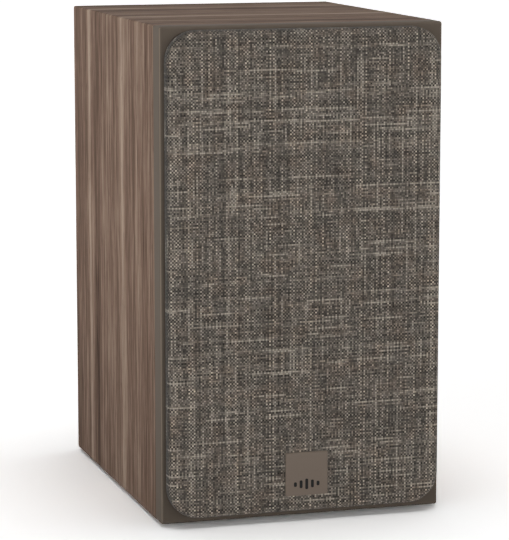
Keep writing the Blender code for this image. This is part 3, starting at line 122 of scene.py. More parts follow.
class Graph:
    """A node tree, with short calls for the nodes that the finishes and the studio are made of."""

    def __init__(self, owner: bpy.types.Material | bpy.types.World) -> None:
        """Takes up the tree of a material or a world."""
        owner.use_nodes = True
        self.tree = owner.node_tree
        self.shader = self.tree.nodes.get("Principled BSDF")

    def feed(self, socket: bpy.types.NodeSocket, value: object) -> None:
        """Links a socket, or sets it to a number or a colour.

        Args:
            socket: the input that is fed.
            value: a shade, another node's output, a number, or three numbers.
        """
        if isinstance(value, Shade):
            value = value.socket
        if isinstance(value, bpy.types.NodeSocket):
            self.tree.links.new(value, socket)
        elif socket.type == "RGBA" and len(value) == 3:
            socket.default_value = (*value, 1.0)
        else:
            socket.default_value = value

    def node(self, kind: str, inputs: dict[object, object], **settings: object) -> bpy.types.Node:
        """Adds a node.

        Args:
            kind: the node's type, without the ShaderNode in front.
            inputs: what each input gets, by name or number.
            settings: the node's own properties.

        Returns:
            The new node.
        """
        made = self.tree.nodes.new(f"ShaderNode{kind}")
        for key, value in settings.items():
            setattr(made, key, value)
        for key, value in inputs.items():
            self.feed(made.inputs[key], value)
        return made

    def shade(self, kind: str, inputs: dict[object, object], output: object = 0, **settings: object) -> Shade:
        """Adds a node and gives one of its outputs, by name or number."""
        return Shade(self, self.node(kind, inputs, **settings).outputs[output])

    def sum(self, operation: str, a: object, b: object = 0.0) -> Shade:
        """One step of arithmetic; operation is a Math node's, such as MAXIMUM."""
        return self.shade("Math", {0: a, 1: b}, operation=operation)

    def vector(self, x: object, y: object, z: object = 0.0) -> Shade:
        """Three numbers as one vector."""
        return self.shade("CombineXYZ", {0: x, 1: y, 2: z})

    def grey(self, value: object) -> Shade:
        """A number as a grey, to multiply a colour with."""
        return self.vector(value, value, value)

    def parts(self, vector: Shade) -> list[Shade]:
        """A vector's x, y and z."""
        return [Shade(self, output) for output in self.node("SeparateXYZ", {0: vector}).outputs]

    def place(self) -> list[Shade]:
        """The surface point's x, y and z on the object, in metres."""
        return self.parts(self.shade("TexCoord", {}, "Object"))

    def facing(self) -> list[Shade]:
        """The surface normal's x, y and z on the object."""
        return self.parts(self.shade("TexCoord", {}, "Normal"))

    def map_place(self, name: str) -> list[Shade]:
        """The u and v of a named UV map, in metres."""
        return self.parts(self.shade("UVMap", {}, uv_map=name))[:2]

    def noise(self, vector: object, scale: float, detail: float = 2.0, rough: float = 0.5) -> Shade:
        """Smooth noise from 0 to 1, about 0.5.

        Args:
            vector: where it is read, in metres.
            scale: lumps to a metre.
            detail: octaves on top of the first.
            rough: how strong those octaves are.

        Returns:
            The noise's value.
        """
        inputs = {"Vector": vector, "Scale": scale, "Detail": detail, "Roughness": rough}
        return self.shade("TexNoise", inputs)

    def chance(self, vector: object) -> Shade:
        """A different number from 0 to 1 at each point."""
        return self.shade("TexWhiteNoise", {"Vector": vector})

    def remap(self, value: object, low: float, high: float, to: tuple[float, float] = (0.0, 1.0)) -> Shade:
        """Stretches the span from low to high over to, and holds it there."""
        return self.shade("MapRange", {0: value, 1: low, 2: high, 3: to[0], 4: to[1]})

    def ramp(self, value: object, stops: Sequence[tuple[float, Colour]]) -> Shade:
        """A colour for each value, straight between the stops.

        Args:
            value: what the colours stand for, from 0 to 1.
            stops: places and their colours.

        Returns:
            The colour.
        """
        made = self.node("ValToRGB", {0: value})
        elements = made.color_ramp.elements
        while len(elements) < len(stops):
            elements.new(0.5)
        for element, (position, colour) in zip(elements, stops):
            element.position = position
            element.color = (*colour, 1.0)
        return Shade(self, made.outputs[0])

    def mix(self, share: object, a: object, b: object, blend: str = "MIX") -> Shade:
        """Colour a with that share of colour b on it."""
        return self.shade("Mix", {0: share, 6: a, 7: b}, 2, data_type="RGBA", blend_type=blend)

    def dim(self, colour: object, factor: object) -> Shade:
        """A colour multiplied by another colour."""
        return self.mix(1.0, colour, factor, "MULTIPLY")

    def relief(self, height: object, depth: float) -> None:
        """Bumps the surface: height runs from 0 to 1 and stands for depth in metres."""
        bump = self.node("Bump", {"Strength": 1.0, "Distance": depth, "Height": height})
        self.feed(self.shader.inputs["Normal"], bump.outputs[0])

    def finish(self, **values: object) -> None:
        """Sets the shader's sockets, each named in lower case with _ for a space."""
        for key, value in values.items():
            self.feed(self.shader.inputs[key.replace("_", " ").title().replace("Ior", "IOR")], value)


def scaled(colour: Colour, factor: float) -> Colour:
    """A colour with each channel times a factor, and no more than 1."""
    return tuple(min(channel * factor, 1.0) for channel in colour)


@dataclass(frozen=True)
class Finish:
    """A finish that any number of pieces can wear."""

    name: str

    def dress(self, graph: Graph) -> None:
        """Fills in the node tree of the finish.

        Args:
            graph: the node tree.
        """
        raise NotImplementedError

    def material(self) -> bpy.types.Material:
        """The finish's material, made the first time that it is asked for."""
        name = f"finish_{self.name}"
        made = bpy.data.materials.get(name)
        if made is None:
            made = bpy.data.materials.new(name)
            self.dress(Graph(made))
        return made


@dataclass(frozen=True)
class Grained(Finish):
    """A moulded, painted, rubber or mineral surface with a fine grain and a little unevenness."""

    colour: Colour
    roughness: float
    grain: float = 0.4 * MM
    depth: float = 0.02 * MM
    uneven: float = 0.12
    metallic: float = 0.0
    sheen: float = 0.0
    gloss: float = 0.5

    def dress(self, graph: Graph) -> None:
        """Colour and roughness drift over centimetres; the grain is a bump.

        Args:
            graph: the node tree.
        """
        point = graph.vector(*graph.place())
        drift = graph.noise(point, 45.0, 3.0)
        fine = graph.noise(point, 1.0 / self.grain, 2.0, 0.6)
        blotch = fine * 0.4 + drift * 0.6
        dark, light = scaled(self.colour, 1.0 - self.uneven), scaled(self.colour, 1.0 + self.uneven)
        graph.finish(
            base_color=graph.ramp(blotch, [(0.3, dark), (0.7, light)]),
            roughness=graph.remap(blotch, 0.3, 0.7, (self.roughness - 0.05, self.roughness + 0.06)),
            metallic=self.metallic,
            sheen_weight=self.sheen,
            specular_ior_level=self.gloss,
        )
        graph.relief(fine, self.depth)


@dataclass(frozen=True)
class PaintWithPaintedLight(Grained):
    """Paint with a painted highlight along rounded upright edges, and painted shade on the front and low
    down.
    """

    # edge is the painted highlight's factor; front and foot are the painted shade's factors on the front and
    # at the bottom
    edge: float = 1.5
    front: float = 0.86
    foot: float = 0.80
    painted_shade_height: float = 140 * MM

    def dress(self, graph: Graph) -> None:
        """The painted highlight is on the edges, where the normal lies between X and Y.

        Args:
            graph: the node tree.
        """
        super().dress(graph)
        x, y, _ = graph.facing()
        beside, ahead = abs(x), abs(y)
        # painted highlight along the rounded upright edges
        edge = graph.remap(beside * ahead, 0.25, 0.45, (1.0, self.edge))
        # painted shade on the front, where the grille casts its shadow
        front = graph.remap(ahead, 0.90, 0.98, (1.0, self.front))
        # painted shade, darker towards the bottom
        low = graph.remap(graph.place()[2], 0.0, self.painted_shade_height, (self.foot, 1.0))
        base = graph.shader.inputs["Base Color"]
        graph.feed(base, graph.dim(base.links[0].from_socket, graph.grey(edge * front * low)))


@dataclass(frozen=True)
class WalnutFoil(Finish):
    """Printed walnut: straight streaks that run up the sides and over the top."""

    dark: Colour
    middle: Colour
    light: Colour
    front: float
    top: float
    half_width: float
    painted_shade_height: float
    bands: tuple[tuple[float, float, float], ...]
    layers: tuple[tuple[float, float, float, float, float], ...]

    def across_and_run(self, graph: Graph) -> tuple[Shade, Shade, Shade]:
        """Where a point is on the foil.

        On the sleeve the streaks lie across the depth. The run along the grain goes up the left side, over
        the top and down the right side, as one sheet of foil. On the back they lie across the width.

        Args:
            graph: the node tree.

        Returns:
            The place across the grain, the run along it, and a number that is another one on the back.
        """
        x, y, z = graph.place()
        normal = graph.facing()
        left, right, behind = normal[0] < -SQUARE_ON, normal[0] > SQUARE_ON, abs(normal[1]) > SQUARE_ON
        rising = graph.sum("MAXIMUM", left, behind)
        level = 1.0 - graph.sum("MAXIMUM", rising, right)
        reach = x + self.half_width
        lying = (normal[2] > 0.0) * (reach * 2.0 + self.top) - reach
        falling = 2.0 * (self.top + self.half_width) - z
        run = rising * z + right * falling + level * lying
        sheet = behind - 1.0
        place = (1.0 - behind) * y + behind * x
        sway = graph.noise(graph.vector(place, run * 0.35, sheet), 12.0, 1.0)
        return (sway - 0.5) * (6 * MM) + place, run, sheet

    def dress(self, graph: Graph) -> None:
        """Streaks are noises of several widths, drawn out along the grain, and a few wide bands. Painted
        shade darkens the lower part and the top faces.

        A layer is streaks to a metre, how short they are, octaves, a seed and its share of the tone. A band
        is its place behind the baffle's face, its width and how much lighter or darker it is, and falls
        away on both sides as e to the minus square of the distance over the width.

        Args:
            graph: the node tree.
        """
        across, run, sheet = self.across_and_run(graph)

        def streaks(scale: float, stretch: float, detail: float, seed: float) -> Shade:
            """Noise drawn out along the grain."""
            return graph.noise(graph.vector(across, run * stretch, sheet + seed), scale, detail, 0.7)

        wide, *finer = (streaks(*layer[:4]) * layer[4] for layer in self.layers)
        tone = wide
        for layer in finer:
            tone = layer + tone
        depth = across - self.front
        for centre, width, strength in self.bands:
            away = (depth - centre) / width
            tone = graph.sum("POWER", math.e, away * away * -1.0) * strength + tone
        colour = graph.ramp(tone, [(0.36, self.dark), (0.50, self.middle), (0.66, self.light)])
        broken = graph.remap(graph.noise(graph.vector(across, run), 160.0, 1.0), 0.42, 0.60)
        pores = graph.remap(streaks(1700.0, 0.06, 1.0, 11.0), 0.60, 0.70) * broken
        colour = graph.mix(pores * 0.55, colour, self.dark)
        # painted shade, darker towards the bottom
        foot = graph.remap(graph.place()[2], 0.0, self.painted_shade_height, (0.74, 1.0))
        # painted shade: the top faces darker than the sides
        top_painted_shade = graph.remap(graph.facing()[2], SQUARE_ON, 0.9, (1.0, 0.85))
        graph.finish(
            base_color=graph.dim(colour, graph.grey(foot * top_painted_shade)),
            roughness=graph.remap(tone, 0.3, 0.7, (0.78, 0.70)),
            specular_ior_level=0.03,
        )
        graph.relief(1.0 - pores, 0.03 * MM)


@dataclass(frozen=True)
class Yarns:
    """One set of parallel yarns at a point: colour, number, how much of a slub, and place across."""

    colour: Shade
    number: Shade
    slub: Shade
    inside: Shade


@dataclass(frozen=True)
class SlubLinen(Finish):
    """Plain weave of uneven yarns: painted shade in the gaps, pale slubs both ways, and drifting patches."""

    pitch: float
    # gap is the colour of the painted shade between the yarns
    gap: Colour
    low: Colour
    middle: Colour
    slub: Colour
    deep: Colour
    pale: Colour
    cool: Colour
    warm: Colour
    rare: float
    # the Y over which painted shade darkens the cloth where it turns back, from its start to its full
    side: tuple[float, float]

    def yarns(self, graph: Graph, across: Shade, along: Shade, seed: float, tone: Colour) -> Yarns:
        """One set of parallel yarns.

        Args:
            graph: the node tree.
            across: the place across the yarns, in metres.
            along: the place along them, in metres.
            seed: a number of its own for each set.
            tone: what the set's plain colour is multiplied by.

        Returns:
            The set. Its slubs run from 0 to 1, and the place across one yarn from -1 to 1.
        """
        counted = across / self.pitch
        number = graph.sum("FLOOR", counted)
        inside = graph.sum("FRACT", counted) * 2.0 - 1.0
        own = graph.chance(graph.vector(number, seed))
        lane = own * 830.0
        slow = graph.noise(graph.vector(lane, along * 32.0, seed), 1.0, 2.0, 0.6)
        thick = graph.noise(graph.vector(lane, along * 32.0, seed + 5.0), 1.0, 1.0)
        fuzz = graph.noise(graph.vector(lane, along * 700.0, seed + 9.0), 1.0, 1.0)
        shade = fuzz * 0.32 + (own * 0.26 + slow * 0.50)
        colour = graph.ramp(shade, [(0.38, self.low), (0.58, self.middle), (0.74, self.slub)])
        slub = graph.remap(own * 0.20 + thick, self.rare, self.rare + 0.05)
        return Yarns(graph.dim(colour, tone), number, slub, inside)

    def dress(self, graph: Graph) -> None:
        """Where the sum of the two yarn numbers is even the upright yarn is on top, and else the other.

        A yarn is highest in its middle and dips at both ends of each crossing, and painted shade fills the
        gaps where it dips.
        Painted shade darkens the cloth where it turns back round the frame's edge.

        Args:
            graph: the node tree.
        """
        u, v = graph.map_place("cloth")
        shift = (graph.noise(graph.vector(u, v), 60.0, 1.0) - 0.5) * (0.5 * MM)
        u, v = u + shift, v + shift
        upright = self.yarns(graph, u, v, 1.0, self.pale)
        level = self.yarns(graph, v, u, 2.0, self.deep)
        odd = graph.sum("FLOORED_MODULO", upright.number + level.number, 2.0) > 0.5
        even = 1.0 - odd
        crossing = graph.chance(graph.vector(upright.number, level.number, 3.0))
        across = even * upright.inside + odd * level.inside
        along = even * level.inside + odd * upright.inside
        crown = 1.0 - graph.sum("POWER", abs(across), 2.4)
        height = crown * (1.0 - graph.sum("POWER", abs(along), 2.0))
        # painted shade in the gaps between yarns, where the yarns dip
        gap_painted_shade = graph.remap(height, 0.0, 0.30, (0.80, 0.0)) * graph.remap(crossing, 0.1, 0.9, (0.5, 1.0))
        patch = graph.noise(graph.vector(u, v, 4.0), 85.0, 2.0, 0.55)
        tint = graph.ramp(patch, [(0.36, self.cool), (0.50, WHITE), (0.64, self.warm)])
        drift = graph.remap(graph.noise(graph.vector(u, v, 9.0), 40.0, 3.0), 0.35, 0.65, (0.88, 1.01))
        # painted shade on the cloth that turns back round the frame's edge
        turned_back_painted_shade = graph.remap(graph.place()[1], *self.side, (1.0, 0.40))
        shade = drift * graph.remap(crossing, 0.0, 1.0, (0.44, 1.54)) * turned_back_painted_shade
        colour = graph.dim(graph.mix(odd, upright.colour, level.colour), tint)
        colour = graph.dim(colour, graph.grey(shade))
        shown = (
            upright.slub * graph.remap(odd, 0.0, 1.0, (0.95, 0.28)),
            level.slub * graph.remap(odd, 0.0, 1.0, (0.28, 0.95)),
        )
        fleck = graph.sum("MAXIMUM", *shown) * graph.remap(crossing, 0.0, 0.6, (0.5, 1.0))
        colour = graph.mix(gap_painted_shade, graph.mix(fleck, colour, self.slub), self.gap)
        graph.finish(
            base_color=colour,
            roughness=0.92,
            specular_ior_level=0.15,
            sheen_weight=0.08,
            sheen_roughness=0.5,
        )
        graph.relief(height, 0.05 * MM)


@dataclass(frozen=True)
class Brushed(Finish):
    """Metal with fine lines along one axis of the object."""

    colour: Colour
    roughness: float
    stretch: tuple[float, float, float] = (30.0, 1500.0, 1500.0)

    def dress(self, graph: Graph) -> None:
        """Lines are noise drawn out along the axis with the smallest stretch.

        Args:
            graph: the node tree.
        """
        place = graph.place()
        drawn_out = graph.vector(*(part * scale for part, scale in zip(place, self.stretch)))
        lines = graph.noise(drawn_out, 1.0, 2.0, 0.6)
        dull = graph.noise(graph.vector(*place), 60.0, 2.0)
        graph.finish(
            base_color=graph.ramp(lines, [(0.3, scaled(self.colour, 0.85)), (0.7, self.colour)]),
            metallic=1.0,
            roughness=graph.remap(dull, 0.3, 0.7, (self.roughness, self.roughness + 0.12)),
        )
        graph.relief(lines, 0.006 * MM)


@dataclass(frozen=True)
class FibreCone(Finish):
    """Pressed pulp with short pale fibres lying in every direction."""

    colour: Colour
    fibre: Colour

    def dress(self, graph: Graph) -> None:
        """Fibres are thin bright ridges where a warped noise crosses its middle.

        Args:
            graph: the node tree.
        """
        x, y, z = graph.place()
        point = graph.vector(x, y, z)
        ridges = []
        for scale, shift in ((700.0, 0.0), (1100.0, 40.0)):
            field = graph.noise(graph.vector(x + shift, y, z), scale, 3.0, 0.55)
            ridges.append(graph.remap(abs(field - 0.5), 0.0, 0.018, (1.0, 0.0)))
        sparse = graph.remap(graph.noise(point, 320.0, 1.0), 0.52, 0.62)
        fibres = graph.sum("MAXIMUM", *ridges) * sparse
        pulp = graph.noise(point, 150.0, 4.0, 0.6)
        base = graph.ramp(pulp, [(0.3, scaled(self.colour, 0.7)), (0.7, self.colour)])
        colour = graph.mix(fibres * 0.75, base, self.fibre)
        graph.finish(base_color=colour, roughness=0.78, specular_ior_level=0.3)
        graph.relief(fibres * 0.5 + pulp, 0.08 * MM)


@dataclass(frozen=True)
class Woven(Finish):
    """A fine plain weave on the object's own x and z, as on a coated dome or a spider."""

    colour: Colour
    pitch: float
    roughness: float

    def dress(self, graph: Graph) -> None:
        """Two crossed sine waves make the weave's relief, and painted shade darkens its holes.

        Args:
            graph: the node tree.
        """
        x, y, z = graph.place()
        rate = math.pi / self.pitch
        weave = graph.sum("SINE", x * rate) * graph.sum("SINE", z * rate) * 0.5 + 0.5
        worn = graph.noise(graph.vector(x, y, z), 90.0, 3.0)
        share = worn * 0.4 + weave * 0.6
        # painted shade in the weave's holes, with random wear
        colour = graph.ramp(share, [(0.25, scaled(self.colour, 0.55)), (0.75, self.colour)])
        graph.finish(base_color=colour, roughness=self.roughness)
        graph.relief(weave, 0.05 * MM)


@dataclass(frozen=True)
class Wound(Finish):
    """Enamelled wire wound side by side round the Y axis."""

    colour: Colour
    wire: float

    def dress(self, graph: Graph) -> None:
        """Each turn is a half-round ridge along Y, with painted shade darkening it towards the line between
        turns.

        Args:
            graph: the node tree.
        """
        x, y, z = graph.place()
        off = graph.sum("FRACT", y / self.wire) * 2.0 - 1.0
        ridge = graph.sum("SQRT", graph.sum("MAXIMUM", 1.0 - off * off, 0.0))
        stain = graph.noise(graph.vector(x, y, z), 120.0, 2.0)
        shade = stain * 0.3 + ridge * 0.7
        # painted shade: darker towards the line between turns, with random stain
        colour = graph.ramp(shade, [(0.2, scaled(self.colour, 0.25)), (0.7, self.colour)])
        graph.finish(base_color=colour, metallic=0.9, roughness=0.34)
        graph.relief(ridge, 0.1 * MM)


# ---------------------------------------------------------------- shapes
class Box:
    """A node's box: its low and high corners, its size and its middle."""

    def __init__(self, node: str) -> None:
        """Reads the box of a node of the frame."""
        self.low, self.high = (np.array(corner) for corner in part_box(node))
        self.size, self.middle = self.high - self.low, (self.low + self.high) / 2
        self.face = self.middle[[0, 2]]

    def axis(self, depth: float) -> np.ndarray:
        """The place in its middle, seen from the front, at that Y."""
        return np.array([self.middle[0], depth, self.middle[2]])


def in_mm(*corners: Sequence[float]) -> list[tuple[float, ...]]:
    """Corners that are given in millimetres, in metres."""
    return [tuple(number * MM for number in corner) for corner in corners]


def quads(rows: int, columns: int) -> np.ndarray:
    """Corner numbers of the faces of a grid whose last column joins the first.

    Args:
        rows: points along the first way.
        columns: points along the second way.

    Returns:
        An array with four corner numbers to a face.
    """
    r = np.arange(rows - 1)[:, None]
    c = np.arange(columns)[None, :]
    after = (c + 1) % columns
    corners = (r * columns + c, r * columns + after, (r + 1) * columns + after, (r + 1) * columns + c)
    return np.stack(np.broadcast_arrays(*corners), axis=-1).reshape(-1, 4)


def stand(name: str, data: bpy.types.ID) -> bpy.types.Object:
    """Puts a new object in the scene.

    Args:
        name: its name.
        data: the mesh, camera or light that it shows.

    Returns:
        The new object.
    """
    made = bpy.data.objects.new(name, data)
    bpy.context.scene.collection.objects.link(made)
    return made


def piece(
    name: str,
    points: np.ndarray,
    faces: np.ndarray | Sequence[Sequence[int]],
    finish: Finish,
    node: str = "",
    body: str = "cabinet",
    closed: bool = True,
    sharp: float = 38.0,
) -> bpy.types.Object:
    """Makes one shown piece from points and faces.

    Args:
        name: the piece's name.
        points: an array of places, three numbers each.
        faces: corner numbers for each face.
        finish: what it wears.
        node: the frame's node that it stands for, if it stands for one.
        body: the body that it rides on.
        closed: whether doubled points are merged and the faces turned outwards.
        sharp: edges that turn more than this many degrees stay crisp.

    Returns:
        The new object, riding on its body.
    """
    mesh = bpy.data.meshes.new(name)
    mesh.from_pydata(np.asarray(points, float).reshape(-1, 3).tolist(), [], [list(face) for face in faces])
    if closed:
        work = bmesh.new()
        work.from_mesh(mesh)
        bmesh.ops.remove_doubles(work, verts=work.verts, dist=1e-6)
        bmesh.ops.dissolve_degenerate(work, edges=work.edges, dist=1e-7)
        bmesh.ops.recalc_face_normals(work, faces=work.faces)
        work.to_mesh(mesh)
        work.free()
    mesh.shade_smooth()
    mesh.set_sharp_from_angle(angle=math.radians(sharp))
    mesh.materials.append(finish.material())
    made = stand(name, mesh)
    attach(made, body)
    if node:
        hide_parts(node)
    LOG.info("%s: %d faces on %s", name, len(mesh.polygons), body)
    return made


def thicken(made: bpy.types.Object, wall: float, offset: float) -> None:
    """Gives a sheet a wall.

    Args:
        made: the sheet.
        wall: its thickness.
        offset: -1 for a wall behind the sheet, and 0 for one on both sides of it.
    """
    solid = made.modifiers.new("thickness", "SOLIDIFY")
    solid.thickness = wall
    solid.offset = offset


def soften(corners: Sequence[Sequence[float]], steps: int = 5, closed: bool = False) -> np.ndarray:
    """A path through corners, each with its own rounding.

    A corner's rounding is a curve from the point that far before it to the point that far after it, with
    the corner as its pull: (1-t)^2 a + 2t(1-t) c + t^2 b.

    Args:
        corners: two coordinates and a rounding length for each corner.
        steps: pieces in each rounding.
        closed: whether the last corner joins the first.

    Returns:
        The path's points, two coordinates each.
    """
    spots = np.array([corner[:2] for corner in corners], float)
    t = np.linspace(0.0, 1.0, steps + 1)[:, None]
    path = []
    for k, (spot, corner) in enumerate(zip(spots, corners)):
        if corner[2] <= 0.0 or (not closed and k in (0, len(spots) - 1)):
            path.append(spot[None])
            continue
        before, after = spots[k - 1] - spot, spots[(k + 1) % len(spots)] - spot
        a = spot + before * corner[2] / np.linalg.norm(before)
        b = spot + after * corner[2] / np.linalg.norm(after)
        path.append((1 - t) ** 2 * a + 2 * t * (1 - t) * spot + t**2 * b)
    return np.concatenate(path)


def turned(
    profile: np.ndarray, centre: Sequence[float], segments: int = 96, ribs: np.ndarray | None = None
) -> np.ndarray:
    """Points of a profile turned about an axis along Y.

    A point is the centre plus (radius cos a, depth, radius sin a).

    Args:
        profile: radius and depth of each point.
        centre: where depth and radius are 0.
        segments: steps round the axis.
        ribs: factors on the radius, by profile point and by step.

    Returns:
        Places by profile point and by step.
    """
    angle = np.linspace(0.0, 2.0 * np.pi, segments, endpoint=False)
    radius = profile[:, :1] * (1.0 if ribs is None else ribs)
    depth = np.broadcast_to(profile[:, 1:], (len(profile), segments))
    grid = np.stack([radius * np.cos(angle), depth, radius * np.sin(angle)], axis=-1)
    return grid + np.asarray(centre, float)


def lathe(
    name: str,
    profile: np.ndarray,
    centre: Sequence[float],
    finish: Finish,
    node: str = "",
    body: str = "cabinet",
    segments: int = 96,
    ring: bool = True,
    ribs: np.ndarray | None = None,
) -> bpy.types.Object:
    """Makes a turned piece.

    Args:
        name: the piece's name.
        profile: radius and depth of each point.
        centre: where depth and radius are 0.
        finish: what it wears.
        node: the frame's node that it stands for, if it stands for one.
        body: the body that it rides on.
        segments: steps round the axis.
        ring: whether the profile closes on itself, and else both its ends are on the axis.
        ribs: factors on the radius, by profile point and by step.

    Returns:
        The new object.
    """
    if ring:
        profile = np.concatenate([profile, profile[:1]])
        ribs = None if ribs is None else np.concatenate([ribs, ribs[:1]])
    points = turned(profile, centre, segments, ribs)
    return piece(name, points, quads(len(profile), segments), finish, node, body)


def arch(middle: float, depth: float, radius: float, steps: int) -> np.ndarray:
    """Half a circle that stands forwards: (middle + radius cos a, depth - radius sin a).

    Args:
        middle: its centre's distance from the axis.
        depth: its centre's depth.
        radius: the circle's radius.
        steps: points along it.

    Returns:
        Radius and depth of each point, from the outside in.
    """
    angle = np.linspace(0.0, np.pi, steps)
    return np.stack([middle + radius * np.cos(angle), depth - radius * np.sin(angle)], axis=-1)


def ball_cap(rim: float, height: float, depth: float, steps: int) -> np.ndarray:
    """The cap of a ball of radius r: (r sin a, depth - height + r (1 - cos a)).

    Args:
        rim: the rim's radius.
        height: how far the crown stands in front of the rim.
        depth: the rim's depth.
        steps: points along it.

    Returns:
        Radius and depth of each point, from the crown to the rim.
    """
    ball = (rim**2 + height**2) / (2 * height)
    angle = np.linspace(0.0, math.asin(rim / ball), steps)
    return np.stack([ball * np.sin(angle), depth - height + ball * (1 - np.cos(angle))], axis=-1)


def rounded_outline(width: float, height: float, radius: float, steps: int, straight: int = 1) -> np.ndarray:
    """The outline of a rectangle with round corners.

    Each corner is a quarter circle, and straight adds that many steps between two corners.

    Args:
        width: its size along the first axis.
        height: its size along the second axis.
        radius: the corners' radius.
        steps: pieces in each corner.
        straight: pieces in each side.

    Returns:
        The outline's points, two coordinates each, once round.
    """
    angle = np.linspace(0.0, np.pi / 2, steps + 1)
    corners = []
    for turn, (sx, sy) in enumerate(((1, -1), (1, 1), (-1, 1), (-1, -1))):
        a = angle + (turn - 1) * np.pi / 2
        middle = np.array([sx * (width / 2 - radius), sy * (height / 2 - radius)])
        corners.append(middle + radius * np.stack([np.cos(a), np.sin(a)], axis=-1))
    path = []
    for here, after in zip(corners, corners[1:] + corners[:1]):
        share = np.linspace(0.0, 1.0, straight + 1)[1:-1, None]
        path += [here, here[-1] * (1 - share) + after[0] * share]
    return np.concatenate(path)


def upright(outline: np.ndarray, depth: float, centre: Sequence[float] = (0.0, 0.0)) -> np.ndarray:
    """An outline in X and Z, moved to a centre and a depth."""
    return np.insert(outline + np.array(centre), 1, depth, axis=1)


def slab(
    name: str,
    size: Sequence[float],
    radius: float,
    depths: tuple[float, float],
    edge: float,
    centre: Sequence[float],
    finish: Finish,
    node: str = "",
    body: str = "cabinet",
) -> bpy.types.Object:
    """Makes a flat plate with round corners, and with its front edge rounded by a quarter circle.

    Args:
        name: the piece's name.
        size: its width and height.
        radius: its corners' radius.
        depths: the Y of its rounded face and of its other face.
        edge: the rounding's radius.
        centre: the X and Z of its middle.
        finish: what it wears.
        node: the frame's node that it stands for, if it stands for one.
        body: the body that it rides on.

    Returns:
        The new object.
    """
    way = 1.0 if depths[1] > depths[0] else -1.0
    turn = np.linspace(np.pi / 2, 0.0, 6)
    insets = np.append(edge * (1 - np.cos(turn)), 0.0)
    places = np.append(depths[0] + way * edge * (1 - np.sin(turn)), depths[1])
    rings = []
    for inset, place in zip(insets, places):
        corner = max(radius - inset, 0.1 * MM)
        outline = rounded_outline(size[0] - 2 * inset, size[1] - 2 * inset, corner, 6)
        rings.append(upright(outline, place, centre))
    points = np.stack(rings)
    rows, columns = points.shape[:2]
    ends = (range(columns), range((rows - 1) * columns, rows * columns))
    faces = quads(rows, columns).tolist() + [list(end) for end in ends]
    return piece(name, points, faces, finish, node, body)


def wear(finish: Finish, *nodes: str) -> None:
    """Gives nodes of the frame a finish in place of their plain one.

    Args:
        finish: what they wear.
        nodes: the nodes' names.
    """
    for node in nodes:
        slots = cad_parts[node].data.materials
        slots.clear()
        slots.append(finish.material())
        LOG.info("%s wears %s", node, finish.name)


# ---------------------------------------------------------------- finishes
BAFFLE_Y = float(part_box("front_baffle")[0][1])
BACK_Y = float(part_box("cabinet_sleeve")[1][1])
GRILLE_Y = float(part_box("grille_cloth")[0][1])
HALF_WIDTH = float(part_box("cabinet_sleeve")[1][0])
CABINET_HIGH = float(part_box("cabinet_sleeve")[1][2])

WALNUT = WalnutFoil(
    "walnut_foil",
    dark=(0.048, 0.027, 0.017),
    middle=(0.168, 0.106, 0.076),
    light=(0.370, 0.278, 0.210),
    front=BAFFLE_Y,
    top=CABINET_HIGH,
    half_width=HALF_WIDTH,
    painted_shade_height=140 * MM,
    bands=(
        (0.163, 0.0035, 0.10),
        (0.084, 0.0060, 0.12),
        (0.145, 0.0050, -0.07),
        (0.050, 0.0030, 0.05),
        (0.192, 0.0080, -0.05),
    ),
    layers=((70.0, 0.05, 2.0, 0.0, 0.22), (300.0, 0.03, 4.0, 3.0, 0.42), (820.0, 0.035, 3.0, 7.0, 0.36)),
)
TAUPE = PaintWithPaintedLight(
    "taupe_paint", (0.118, 0.095, 0.075), 0.66, grain=0.5 * MM, depth=0.006 * MM, uneven=0.04, gloss=0.04
)
BADGE = Grained(
    "badge_lacquer", (0.140, 0.108, 0.084), 0.45, grain=0.3 * MM, depth=0.004 * MM, uneven=0.05, gloss=0.25
)
INK = Grained("black_ink", (0.006, 0.006, 0.006), 0.60, uneven=0.05, gloss=0.2)
LINEN = SlubLinen(
    "slub_linen",
    pitch=0.98 * MM,
    # colour of the painted shade in the gaps between yarns
    gap=(0.006, 0.005, 0.004),
    low=(0.062, 0.055, 0.048),
    middle=(0.180, 0.160, 0.141),
    slub=(0.35, 0.312, 0.262),
    deep=(0.56, 0.54, 0.525),
    pale=(1.13, 1.10, 1.05),
    cool=(0.96, 0.985, 1.0),
    warm=(1.0, 0.95, 0.92),
    rare=0.755,
    # painted shade on the turned-back cloth: where it starts and where it is full
    side=(GRILLE_Y + 0.9 * MM, GRILLE_Y + 2.4 * MM),
)
PLASTIC = Grained("black_plastic", (0.013, 0.013, 0.014), 0.45, 0.5 * MM, gloss=0.3)
FRAME_PLASTIC = Grained("frame_plastic", (0.016, 0.015, 0.014), 0.6, 0.7 * MM, 0.03 * MM, gloss=0.2)
GLOSS_BLACK = Grained("black_gloss_plastic", (0.014, 0.014, 0.015), 0.24, 1.2 * MM, 0.004 * MM)
GLOSS_RED = Grained("red_gloss_plastic", (0.42, 0.014, 0.012), 0.26, 1.2 * MM, 0.004 * MM)
RUBBER = Grained("black_rubber", (0.014, 0.014, 0.014), 0.6, 0.8 * MM, gloss=0.25)
BLACK_STEEL = Grained(
    "black_steel", (0.022, 0.022, 0.023), 0.38, 0.6 * MM, 0.01 * MM, metallic=0.3, gloss=0.4
)
FERRITE = Grained("ferrite", (0.045, 0.045, 0.050), 0.62, 0.6 * MM, 0.03 * MM, uneven=0.25)
FOAM = Grained("gasket_foam", (0.030, 0.030, 0.030), 0.95, 0.9 * MM, 0.15 * MM, uneven=0.3)
WADDING = Grained("wadding", (0.68, 0.68, 0.65), 0.98, 1.6 * MM, 1.2 * MM, uneven=0.2, sheen=0.4)
BOARD = Grained("circuit_board", (0.025, 0.105, 0.048), 0.32, 1.5 * MM, uneven=0.2)
CEMENT = Grained("cement", (0.58, 0.56, 0.52), 0.88, 0.5 * MM, 0.08 * MM, uneven=0.15)
